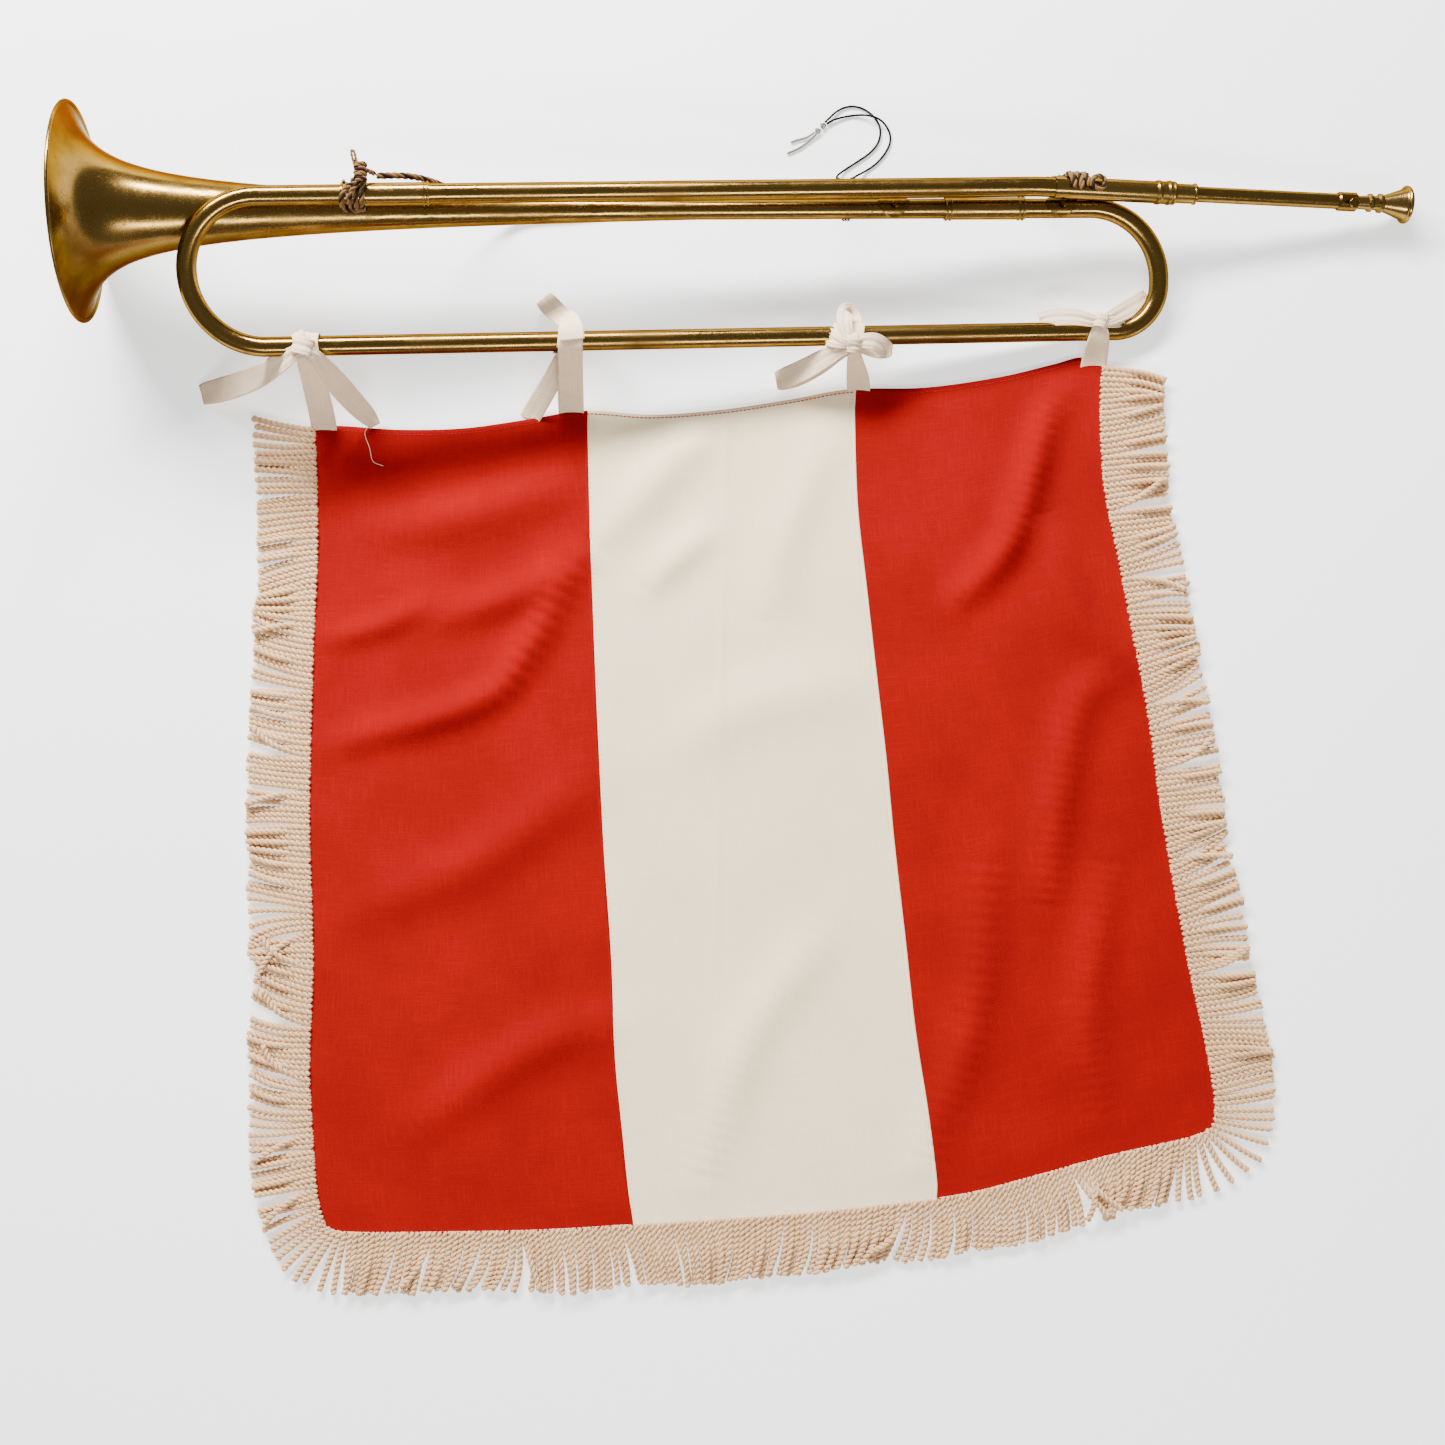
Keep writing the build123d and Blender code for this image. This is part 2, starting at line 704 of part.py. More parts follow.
with BuildPart() as top_hem:
    with BuildSketch(table):
        with BuildLine():
            Polyline(cloth(0, 0), cloth(1, 0), cloth(1, hem_share), cloth(0, hem_share), close=True)
        make_face()
    extrude(amount=cloth_thickness)
top_hem.part.label = "top_hem"
export_step(top_hem.part, "parts/top_hem.step")

outward_left = Vector(-cos(radians(edge_splay_left)), -sin(radians(edge_splay_left)), 0)
outward_right = Vector(cos(radians(edge_splay_right)), sin(radians(edge_splay_right)), 0)
outward_down = Vector(0, -1, 0)
left_foot = bottom_left + outward_left * fringe_length
right_foot = bottom_right + outward_right * fringe_length
bottom_edge = [cloth(seam, 1) for seam in seams]
bottom_hem = [point + outward_down * fringe_length for point in reversed(bottom_edge)]
fringes = {
    "fringe_left": (
        cloth(0, 0),
        cloth(0, 1),
        left_foot,
        cloth(0, 0) + outward_left * fringe_length,
    ),
    "fringe_bottom": (*bottom_edge, right_foot, *bottom_hem, left_foot),
    "fringe_right": (
        cloth(1, 0),
        cloth(1, 1),
        right_foot,
        cloth(1, 0) + outward_right * fringe_length,
    ),
}

for name, outline in fringes.items():
    with BuildPart() as fringe:
        with BuildSketch(table):
            with BuildLine():
                Polyline(*outline, close=True)
            make_face()
        extrude(amount=fringe_thickness)
    fringe.part.label = name
    export_step(fringe.part, "parts/" + name + ".step")

# ---------------------------------------------------------------- ties
knot_bore = tube_radius + knot_gap
knot_radius = knot_bore + knot_thickness


def on_table(point):
    """A point measured on the table from the leadpipe's bend, in the part's frame."""
    return table.from_local_coords(Vector(*point))


def tape(start, end, width):
    """A flat strip of tape between two points, inside the part being built."""
    run = end - start
    flat = Vector(0, 0, 1).cross(run).normalized()
    with BuildSketch(Plane(origin=start, x_dir=flat, z_dir=run)) as section:
        Rectangle(width, tape_thickness)
    extrude(section.sketch, amount=run.length)


tail_ends = (  # of each tie's left and right tail, from its knot: along X, along Y, height
    ((-58.0, -24.0, 9.0), (44.0, -44.0, 9.0)),
    ((-26.0, -32.0, 9.0), (20.0, -26.0, 9.0)),
    ((-44.0, -26.0, 6.0), (24.0, -14.0, 6.0)),
    ((-34.0, -16.0, 4.0), (6.0, -20.0, 4.0)),
)

for number, (place, tails) in enumerate(zip(tie_places, tail_ends), start=1):
    knot_centre = lower_line.from_local_coords(Vector(place, 0, 0))
    knot_on_table = table.to_local_coords(knot_centre)
    hem_x = knot_on_table.X
    hem_y = top_left.Y + (top_right.Y - top_left.Y) * (hem_x - top_left.X) / (top_right.X - top_left.X)
    hem_point = on_table((hem_x, hem_y, cloth_thickness / 2))
    with BuildPart() as tie:
        with BuildSketch(across_line(lower_line, place - tape_width / 2)):
            Circle(knot_radius)
        extrude(amount=tape_width)
        tape(hem_point, knot_centre, tape_width)
        for x, y, height in tails:
            tail_point = Vector(knot_centre.X + x, knot_centre.Y + y, height)
            tape(tail_point, knot_centre, tape_width / 2)
        with BuildSketch(across_line(lower_line, place - 2 * tape_width)):
            Circle(knot_bore)
        extrude(amount=4 * tape_width, mode=Mode.SUBTRACT)
        add(top_hem.part, mode=Mode.SUBTRACT)
        under_table = (Align.CENTER, Align.CENTER, Align.MAX)
        Box(table_size, table_size, 4 * tape_width, align=under_table, mode=Mode.SUBTRACT)
    tie.part.label = "tie_" + str(number)
    export_step(tie.part, "parts/tie_" + str(number) + ".step")

# ---------------------------------------------------------------- cords
def cord_radii(points):
    """The largest tangent arc that the two runs at each corner of a route allow."""
    radii = []
    for before, corner, after in zip(points, points[1:], points[2:]):
        first = corner - before
        second = after - corner
        turn = radians(first.get_angle(second))
        radii.append(0.45 * min(first.length, second.length) / tan(turn / 2))
    return radii


def cord_tube(name, route, radius):
    """Sweeps a round cord along a route of points on the table and prints its measures."""
    points = [on_table(point) for point in route]
    radii = cord_radii(points)
    with BuildPart() as tube:
        with BuildLine() as line:
            FilletPolyline(*points, radius=radii)
        first_run = points[1] - points[0]
        with BuildSketch(Plane(origin=points[0], z_dir=first_run)):
            Circle(radius)
        sweep(path=line.wire())
    length = line.wire().length
    share = tube.part.volume / (length * pi * radius**2)
    print(name, "length", round(length, 1), "volume share", round(share, 4))
    print("  radii in diameters", [round(r / (2 * radius), 1) for r in radii])
    tube.part.label = name
    export_step(tube.part, "parts/" + name + ".step")


# The route points are on the table, from below the leadpipe's bend, with their height.
carrying_route = (
    (-399.0, -2.5, 70.0),
    (-386.0, -1.2, 68.0),
    (-372.0, -0.6, 58.0),
    (-361.0, -1.5, 42.0),
    (-351.0, -4.0, 25.0),
    (-337.0, -7.5, 10.0),
    (-316.0, -9.6, cord_rest),
    (-290.0, -8.6, cord_rest),
    (-258.0, -4.0, cord_rest),
    (-222.0, 1.5, cord_rest),
    (-180.0, 3.4, cord_rest),
    (-138.0, 1.0, cord_rest),
    (-98.0, 2.8, cord_rest),
    (-60.0, 7.6, cord_rest),
    (-27.0, 10.8, 3.0),
    (-4.0, 11.2, 9.0),
    (12.0, 10.2, 17.0),
    (22.4, 10.0, 26.0),
    (24.16, 8.15, 36.0),
)
cord_tube("carrying_cord", carrying_route, cord_radius)

with BuildPart() as cord_knot_left:
    with BuildSketch(across_line(lead_line, left_knot_place - left_knot_width / 2)):
        Circle(sleeve_radius + 2 * cord_radius)
    extrude(amount=left_knot_width)
    knob_face = on_table(carrying_route[0])
    knob_back = (knob_face - on_table(carrying_route[1])).normalized()
    with BuildSketch(Plane(origin=knob_face, z_dir=knob_back)):
        Circle(left_knob_radius)
    extrude(amount=left_knob_length)
    with BuildSketch(across_line(lead_line, left_knot_place - 2 * left_knot_width)):
        Circle(sleeve_radius)
    extrude(amount=4 * left_knot_width, mode=Mode.SUBTRACT)
cord_knot_left.part.label = "cord_knot_left"
export_step(cord_knot_left.part, "parts/cord_knot_left.step")

with BuildPart() as cord_loop_left:
    loop_root = knob_face + knob_back * (left_knob_length / 2)
    with BuildSketch(Plane(origin=loop_root, z_dir=(-0.1, 1, 0.05))):
        Circle(cord_radius)
    extrude(amount=left_knob_radius + left_loop_length)
    fillet(cord_loop_left.edges().sort_by(Axis.Y)[-1], radius=0.9 * cord_radius)
    add(cord_knot_left.part, mode=Mode.SUBTRACT)
cord_loop_left.part.label = "cord_loop_left"
export_step(cord_loop_left.part, "parts/cord_loop_left.step")

# At the right the cord comes up behind the tuning sleeve and lies over its top.
wrap_middle = sleeve_radius + cord_radius

wrap_up = mouth_line.z_dir * cos(radians(wrap_from)) - mouth_line.y_dir * sin(radians(wrap_from))

with BuildPart() as cord_wrap_right:
    with BuildSketch(Plane(origin=mouth_line.origin, x_dir=mouth_line.x_dir, z_dir=wrap_up)):
        with Locations((wrap_place, wrap_middle)):
            RectangleRounded(wrap_width, 2 * cord_radius, 0.9 * cord_radius)
    revolve(axis=axis_of(mouth_line), revolution_arc=wrap_turn)
cord_wrap_right.part.label = "cord_wrap_right"
export_step(cord_wrap_right.part, "parts/cord_wrap_right.step")

end_loop_place = wrap_place + wrap_width / 2 + end_loop_ring + cord_radius + end_loop_gap

with BuildPart() as cord_loop_right:
    loop_plane = Plane(
        origin=mouth_line.from_local_coords(Vector(end_loop_place, 0, wrap_middle)),
        x_dir=mouth_line.x_dir,
        z_dir=mouth_line.y_dir,
    )
    with BuildSketch(loop_plane):
        with Locations((end_loop_ring, 0)):
            Circle(cord_radius)
    revolve(axis=Axis(loop_plane.origin, mouth_line.z_dir))
cord_loop_right.part.label = "cord_loop_right"
export_step(cord_loop_right.part, "parts/cord_loop_right.step")

# A thin string is hitched round the bell tube; its two strands run out to a double knot.
hitch_start = (on_horn(bell_point(hitch_place)) - bell_line.origin).length - hitch_width / 2

with BuildPart() as string_hitch:
    with BuildSketch(across_line(bell_line, hitch_start)):
        Circle(tube_radius + 2 * string_radius)
        Circle(tube_radius, mode=Mode.SUBTRACT)
    extrude(amount=hitch_width)
string_hitch.part.label = "string_hitch"
export_step(string_hitch.part, "parts/string_hitch.step")

string_route_a = (
    (-119.5, -4.2, 33.4),
    (-119.7, 1.6, 32.4),
    (-120.3, 7.0, 26.5),
    (-121.0, 10.6, 18.0),
    (-121.6, 13.2, 9.0),
    (-120.9, 16.6, 2.6),
    (-116.5, 20.4, string_rest),
    (-108.5, 25.6, string_rest),
    (-101.0, 30.4, string_rest),
    (-95.5, 36.1, string_rest),
    (-93.3, 42.4, string_rest),
    (-93.8, 48.6, string_rest),
    (-97.2, 54.2, string_rest),
    (-102.5, 58.5, string_rest),
    (-108.8, 60.9, string_rest),
    (-115.3, 60.6, string_rest),
    (-121.2, 57.6, 1.0),
    (-125.6, 53.2, 1.5),
    (-128.5, 50.4, 1.6),
)
string_route_b = (
    (-116.0, -4.2, 33.2),
    (-115.7, 1.6, 32.2),
    (-114.6, 7.0, 26.5),
    (-112.9, 10.6, 18.0),
    (-111.2, 13.2, 9.0),
    (-108.4, 16.6, 2.6),
    (-102.6, 20.0, string_rest),
    (-96.2, 24.4, string_rest),
    (-91.0, 30.2, string_rest),
    (-87.4, 36.6, string_rest),
    (-87.0, 43.0, string_rest),
    (-89.9, 48.4, 2.0),
    (-94.0, 51.9, 3.4),
    (-98.6, 53.9, 3.4),
    (-104.6, 55.2, 1.6),
    (-111.0, 55.1, string_rest),
    (-117.6, 53.8, 1.0),
    (-124.4, 51.7, 1.5),
    (-127.4, 49.4, 1.6),
)
string_tail_a = (
    (-135.1, 44.2, 1.6),
    (-138.0, 42.0, 1.1),
    (-141.7, 40.6, string_rest),
    (-146.0, 39.6, string_rest),
    (-150.1, 38.1, string_rest),
)
string_tail_b = (
    (-134.1, 43.1, 1.6),
    (-136.7, 40.6, 1.1),
    (-139.6, 38.0, string_rest),
    (-144.2, 34.7, string_rest),
    (-148.5, 32.7, string_rest),
    (-152.3, 31.1, string_rest),
)
knot_start = on_table((-128.1, 49.8, 1.6))
knot_end = on_table((-134.5, 43.8, 1.6))

cord_tube("string_strand_a", string_route_a, string_radius)
cord_tube("string_strand_b", string_route_b, string_radius)
cord_tube("string_tail_a", string_tail_a, string_radius)
cord_tube("string_tail_b", string_tail_b, string_radius)

with BuildPart() as string_knot:
    with BuildSketch(Plane(origin=knot_start, z_dir=knot_end - knot_start)):
        Circle(string_knot_radius)
    extrude(amount=(knot_end - knot_start).length)
string_knot.part.label = "string_knot"
export_step(string_knot.part, "parts/string_knot.step")
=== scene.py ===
import math
import random

import bpy
import numpy as np
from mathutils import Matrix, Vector


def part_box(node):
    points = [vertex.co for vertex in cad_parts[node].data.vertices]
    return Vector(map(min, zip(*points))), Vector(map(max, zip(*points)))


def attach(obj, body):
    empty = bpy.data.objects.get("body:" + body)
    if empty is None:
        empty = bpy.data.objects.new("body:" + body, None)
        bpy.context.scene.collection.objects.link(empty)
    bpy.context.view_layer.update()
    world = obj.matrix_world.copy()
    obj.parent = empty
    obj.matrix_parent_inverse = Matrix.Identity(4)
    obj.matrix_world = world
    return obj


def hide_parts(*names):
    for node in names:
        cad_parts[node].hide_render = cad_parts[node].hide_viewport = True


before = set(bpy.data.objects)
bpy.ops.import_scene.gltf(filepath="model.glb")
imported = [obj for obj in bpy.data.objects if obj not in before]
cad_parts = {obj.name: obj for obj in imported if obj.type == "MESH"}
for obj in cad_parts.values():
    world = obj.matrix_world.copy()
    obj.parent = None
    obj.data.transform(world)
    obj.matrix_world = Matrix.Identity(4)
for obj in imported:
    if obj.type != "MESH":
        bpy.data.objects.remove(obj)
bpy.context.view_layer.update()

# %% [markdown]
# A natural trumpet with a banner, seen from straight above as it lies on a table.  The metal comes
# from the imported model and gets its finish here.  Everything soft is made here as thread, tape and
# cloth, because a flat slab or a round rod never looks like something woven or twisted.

# %% [markdown]
# The instrument was looked at from straight above, so the camera hangs over the middle of the
# table and looks down, with +Y at the top.  Distance and lens together set how much larger the
# high left end looks than the low right end.

# %% Camera
camera_data = bpy.data.cameras.new("overhead_camera")
camera_data.sensor_width = 36.0
camera_data.lens = 48.58
camera_data.clip_end = 20.0
camera = bpy.data.objects.new("overhead_camera", camera_data)
camera.location = (-0.0185, -0.0042, 1.230)
bpy.context.scene.collection.objects.link(camera)
bpy.context.scene.camera = camera
print("camera height", camera.location.z)

# %% [markdown]
# Drawn lines need to be turned into many even points before a strand or a tape can follow
# them.  A NURBS spline of order 3 stays smooth between few points, and reading it back from a
# curve without a bevel gives its own line.

# %% Helpers for lines
bend = np.array((0.174504, 0.323384, 0.0))  # below the slight bend of the leadpipe
drawn_from = bend - np.array((0.1854, 0.3242, 0.0))  # the zero of the banner's and the ties' points


def spline_curve(name, points):
    """A bare NURBS curve through the region of the points."""
    data = bpy.data.curves.new(name, "CURVE")
    data.dimensions = "3D"
    data.resolution_u = 16
    spline = data.splines.new("NURBS")
    spline.points.add(len(points) - 1)
    for knot, point in zip(spline.points, points):
        knot.co = (*point, 1.0)
    spline.order_u = 3
    spline.use_endpoint_u = True
    curve = bpy.data.objects.new(name, data)
    bpy.context.scene.collection.objects.link(curve)
    return curve


def read_line(curve):
    """The points of a curve's own line."""
    bpy.context.view_layer.update()
    mesh = bpy.data.meshes.new_from_object(curve)
    line = np.array([vertex.co[:] for vertex in mesh.vertices])
    bpy.data.meshes.remove(mesh)
    return line


def line_length(line):
    """The length of a line of points."""
    return float(np.linalg.norm(np.diff(line, axis=0), axis=1).sum())


def even(line, count):
    """The same line with evenly spaced points.  Further columns are carried along."""
    line = np.asarray(line, float)
    steps = np.linalg.norm(np.diff(line[:, :3], axis=0), axis=1)
    place = np.concatenate(([0.0], np.cumsum(steps)))
    wanted = np.linspace(0.0, place[-1], count)
    return np.stack([np.interp(wanted, place, column) for column in line.T], axis=1)


def smooth(points, count):
    """A Catmull-Rom line through given points, evenly spaced, with any further columns."""
    points = np.asarray(points, float)
    ends = np.vstack((2 * points[0] - points[1], points, 2 * points[-1] - points[-2]))
    parts = []
    share = np.linspace(0.0, 1.0, 12, endpoint=False)[:, None]
    for a, b, c, d in zip(ends, ends[1:], ends[2:], ends[3:]):
        bow = (2 * a - 5 * b + 4 * c - d) * share**2 + (3 * b - a - 3 * c + d) * share**3
        parts.append(0.5 * (2 * b + (c - a) * share + bow))
    parts.append(points[-1:])
    return even(np.vstack(parts), count)


def unit(vectors):
    """Vectors of length one."""
    vectors = np.asarray(vectors, float)
    return vectors / np.linalg.norm(vectors, axis=-1, keepdims=True)


def sides_of(line):
    """Two directions across a line at each point, carried along it without twisting."""
    tangents = unit(np.gradient(line, axis=0))
    start = np.cross(tangents[0], (0.0, 0.0, 1.0))
    if np.linalg.norm(start) < 0.1:
        start = np.cross(tangents[0], (0.0, 1.0, 0.0))
    normals = [unit(start)]
    for tangent in tangents[1:]:
        normals.append(unit(normals[-1] - tangent * np.dot(normals[-1], tangent)))
    normals = np.array(normals)
    return normals, np.cross(tangents, normals)


print("line helpers ready")

# %% [markdown]
# Every soft piece is one mesh made of tubes or strips.  A small bag collects their points and
# faces, and keeps a "grain" vector at each point, in millimetres along and across the thread, so
# that the weave or the fibres follow the piece however it bends.

# %% A bag for tubes and strips
class MeshBag:
    """Collects tubes and strips, then becomes one object."""

    def __init__(self):
        self.points = []
        self.grain = []
        self.faces = []
        self.slots = []
        self.count = 0

    def add_grid(self, points, grain, slot, wrap, caps):
        """Adds rows of points, joined into faces.  wrap closes each row into a ring."""
        rows, columns = points.shape[:2]
        index = self.count + np.arange(rows * columns).reshape(rows, columns)
        here = index if wrap else index[:, :-1]
        beside = np.roll(index, -1, axis=1) if wrap else index[:, 1:]
        quads = np.stack((here[:-1], beside[:-1], beside[1:], here[1:]), axis=-1).reshape(-1, 4)
        self.faces.extend(quads.tolist())
        self.slots.extend([slot] * len(quads))
        if caps:
            self.faces.append(index[0][::-1].tolist())
            self.faces.append(index[-1].tolist())
            self.slots.extend([slot, slot])
        self.points.append(points.reshape(-1, 3))
        self.grain.append(grain.reshape(-1, 3))
        self.count += rows * columns

    def add_tube(self, line, radius, sides=6, slot=0, twist=0.0):
        """Adds a round tube.  radius is one number or one for each point of the line."""
        normals, others = sides_of(line)
        radius = np.broadcast_to(np.asarray(radius, float), len(line))[:, None, None]
        angle = np.linspace(0.0, 2 * math.pi, sides, endpoint=False)[None, :, None]
        ring = np.cos(angle) * normals[:, None, :] + np.sin(angle) * others[:, None, :]
        place = np.concatenate(([0.0], np.cumsum(np.linalg.norm(np.diff(line, axis=0), axis=1))))
        place = np.broadcast_to(place[:, None], (len(line), sides)) * 1000.0
        turn = angle[..., 0] + twist * place
        grain = np.stack((0.12 * place, np.cos(turn), np.sin(turn)), axis=-1)
        self.add_grid(line[:, None, :] + ring * radius, grain, slot, True, True)

    def add_strip(self, line, side, width, thickness, slot=0, crown=0.0, pleat=0.0):
        """Adds a flat tape that is closed all round."""
        count = len(line)
        tangents = unit(np.gradient(line, axis=0))
        side = unit(side - tangents * (side * tangents).sum(1)[:, None])
        normal = np.cross(tangents, side)
        width = np.broadcast_to(np.asarray(width, float), count)[:, None]
        pleat = np.broadcast_to(np.asarray(pleat, float), count)[:, None]
        share = np.linspace(-1.0, 1.0, 11)[None, :]
        lift = crown * (1 - share**2) + pleat * np.cos(2.5 * math.pi * share)
        middle = line[:, None, :] + side[:, None, :] * (share * width / 2)[..., None]
        middle = middle + normal[:, None, :] * lift[..., None]
        half = normal[:, None, :] * thickness / 2
        points = np.concatenate((middle + half, (middle - half)[:, ::-1]), axis=1)
        place = np.concatenate(([0.0], np.cumsum(np.linalg.norm(np.diff(line, axis=0), axis=1))))
        along = np.broadcast_to(place[:, None], (count, 11)) * 1000.0
        across = share * width / 2 * 1000.0
        grain = np.stack((along, across, np.zeros_like(along)), axis=-1)
        grain = np.concatenate((grain, grain[:, ::-1]), axis=1)
        self.add_grid(points, grain, slot, True, True)

    def make(self, name, *finishes):
        """The object with all the points and faces."""
        mesh = bpy.data.meshes.new(name)
        mesh.from_pydata(np.vstack(self.points).tolist(), [], self.faces)
        grain = mesh.attributes.new("grain", "FLOAT_VECTOR", "POINT")
        grain.data.foreach_set("vector", np.vstack(self.grain).astype(np.float32).ravel())
        mesh.polygons.foreach_set("material_index", self.slots)
        mesh.polygons.foreach_set("use_smooth", [True] * len(mesh.polygons))
        for finish in finishes:
            mesh.materials.append(finish)
        piece = bpy.data.objects.new(name, mesh)
        bpy.context.scene.collection.objects.link(piece)
        return piece


def rope_into(bag, line, radius, strands, lay, slots, start=0.0, sides=8):
    """Twists strands about a line.  radius is that of the whole rope, lay is one turn's length."""
    length = line_length(line)
    line = even(line, max(8, int(length / lay * 12)))
    normals, others = sides_of(line)
    place = np.linspace(0.0, length, len(line))
    strand_radius = radius * (0.54 if strands == 2 else 0.50)
    offset = radius - strand_radius
    for number in range(strands):
        angle = (start + 2 * math.pi * (place / lay + number / strands))[:, None]
        strand = line + offset * (np.cos(angle) * normals + np.sin(angle) * others)
        taper = np.minimum(1.0, 0.45 + np.minimum(place, length - place) / (1.2 * radius))
        bag.add_tube(strand, strand_radius * taper, sides, slots[number % len(slots)], 1.1)


def settle(piece, body, slot, *nodes):
    """Puts a soft piece on a body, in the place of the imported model's plain nodes."""
    if nodes:
        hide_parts(*nodes)
    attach(piece, body)


print("mesh helpers ready")

# %% [markdown]
# Materials are small node graphs.  A helper places a node and sets its plain sockets in one call,
# which keeps each finish readable as a recipe.

# %% Helpers for node graphs
def node(tree, kind, links=None, **settings):
    """Places a shader node.  Settings with a capital letter or a number are sockets."""
    made = tree.nodes.new("ShaderNode" + kind)
    for name, value in settings.items():
        setattr(made, name, value)
    for socket, value in (links or {}).items():
        if isinstance(value, bpy.types.NodeSocket):
            tree.links.new(value, made.inputs[socket])
        else:
            made.inputs[socket].default_value = value
    return made


def new_group(name, inputs, outputs):
    """A shader node group with named sockets, and its input and output nodes."""
    group = bpy.data.node_groups.new(name, "ShaderNodeTree")
    for label, kind, value in inputs:
        socket = group.interface.new_socket(label, in_out="INPUT", socket_type="NodeSocket" + kind)
        socket.default_value = value
    for label, kind in outputs:
        group.interface.new_socket(label, in_out="OUTPUT", socket_type="NodeSocket" + kind)
    entry = group.nodes.new("NodeGroupInput")
    leave = group.nodes.new("NodeGroupOutput")
    return group, entry.outputs, leave.inputs


def place_group(tree, group, links):
    """Uses a group in a material."""
    made = tree.nodes.new("ShaderNodeGroup")
    made.node_tree = group
    for socket, value in links.items():
        if isinstance(value, bpy.types.NodeSocket):
            tree.links.new(value, made.inputs[socket])
        else:
            made.inputs[socket].default_value = value
    return made.outputs


def math_node(tree, operation, first, second=0.0):
    """One step of arithmetic."""
    return node(tree, "Math", {0: first, 1: second}, operation=operation).outputs[0]


def ramp(tree, value, low, high):
    """Stretches a value so that low becomes 0 and high becomes 1."""
    links = {"Value": value, "From Min": low, "From Max": high}
    return node(tree, "MapRange", links).outputs[0]


def blend_colours(tree, share, first, second):
    """A colour between two, by a share from 0 to 1."""
    links = {0: share, 6: first, 7: second}
    return node(tree, "Mix", links, data_type="RGBA").outputs[2]


def finish_of(name, surface):
    """A material whose Principled shader gets the given sockets."""
    material = bpy.data.materials.new(name)
    material.use_nodes = True
    tree = material.node_tree
    shader = tree.nodes["Principled BSDF"]
    for socket, value in surface(tree).items():
        if isinstance(value, bpy.types.NodeSocket):
            tree.links.new(value, shader.inputs[socket])
        else:
            shader.inputs[socket].default_value = value
    return material


print("node helpers ready")

# %% [markdown]
# Old polished brass is three things at once: warm metal, brown tarnish that stays in soft patches
# and specks, and fine wiping scratches that run round and along the tube.  One group makes all
# three, and each brass mixes them in its own amounts.

# %% The aged metal group
aged_metal, given, result = new_group(
    "aged_metal",
    [
        ("Bright", "Color", (0.6, 0.4, 0.16, 1)),
        ("Brown", "Color", (0.12, 0.06, 0.02, 1)),
        ("Patch Scale", "Float", 14.0),
        ("Tarnish", "Float", 0.5),
        ("Specks", "Float", 0.5),
    ],
    [("Colour", "Color"), ("Roughness", "Float"), ("Height", "Float")],
)
spot = node(aged_metal, "TexCoord").outputs["Object"]
patches = node(
    aged_metal, "TexNoise", {"Vector": spot, "Scale": given["Patch Scale"], "Detail": 8, "Roughness": 0.62}
).outputs["Fac"]
cloudy = node(
    aged_metal, "TexNoise", {"Vector": spot, "Scale": 95.0, "Detail": 6, "Roughness": 0.7}
).outputs["Fac"]
specks = node(
    aged_metal, "TexNoise", {"Vector": spot, "Scale": 620.0, "Detail": 3, "Roughness": 0.5}
).outputs["Fac"]
long_marks = node(aged_metal, "Mapping", {"Vector": spot, "Scale": (0.08, 1.0, 1.0)}).outputs[0]
scratches = node(
    aged_metal, "TexNoise", {"Vector": long_marks, "Scale": 2600.0, "Detail": 2, "Roughness": 0.6}
).outputs["Fac"]
patch_mask = ramp(aged_metal, patches, 0.42, 0.70)
cloud_mask = ramp(aged_metal, cloudy, 0.48, 0.72)
speck_mask = ramp(aged_metal, specks, 0.60, 0.70)
tarnished = math_node(aged_metal, "MULTIPLY", patch_mask, given["Tarnish"])
clouded = math_node(aged_metal, "MULTIPLY", cloud_mask, given["Tarnish"])
speckled = math_node(aged_metal, "MULTIPLY", speck_mask, given["Specks"])
brown_share = math_node(aged_metal, "MAXIMUM", tarnished, math_node(aged_metal, "MULTIPLY", clouded, 0.7))
brown_share = math_node(aged_metal, "MAXIMUM", brown_share, speckled)
colour = blend_colours(aged_metal, brown_share, given["Bright"], given["Brown"])
scratch_mask = ramp(aged_metal, scratches, 0.52, 0.75)
rough = math_node(aged_metal, "MULTIPLY_ADD", brown_share, 0.30)
rough.node.inputs[2].default_value = 0.13
rough = math_node(aged_metal, "ADD", rough, math_node(aged_metal, "MULTIPLY", scratch_mask, 0.12))
height = math_node(aged_metal, "MULTIPLY_ADD", scratch_mask, -0.35)
height.node.inputs[2].default_value = 0.5
height = math_node(aged_metal, "ADD", height, math_node(aged_metal, "MULTIPLY", cloudy, 0.5))
aged_metal.links.new(colour, result["Colour"])
aged_metal.links.new(rough, result["Roughness"])
aged_metal.links.new(height, result["Height"])
print("group", aged_metal.name, len(aged_metal.nodes), "nodes")


# %% Brass finishes
def brass(name, bright, brown, patch_scale, tarnish, specks, dents):
    """One brass, from the aged metal group."""

    def surface(tree):
        metal = place_group(
            tree,
            aged_metal,
            {
                "Bright": (*bright, 1),
                "Brown": (*brown, 1),
                "Patch Scale": patch_scale,
                "Tarnish": tarnish,
                "Specks": specks,
            },
        )
        bump = node(
            tree, "Bump", {"Strength": dents, "Distance": 0.0003, "Height": metal["Height"]}
        ).outputs[0]
        return {
            "Base Color": metal["Colour"],
            "Roughness": metal["Roughness"],
            "Metallic": 1.0,
            "Specular Tint": (0.36, 0.26, 0.12, 1.0),
            "Normal": bump,
        }

    return finish_of(name, surface)


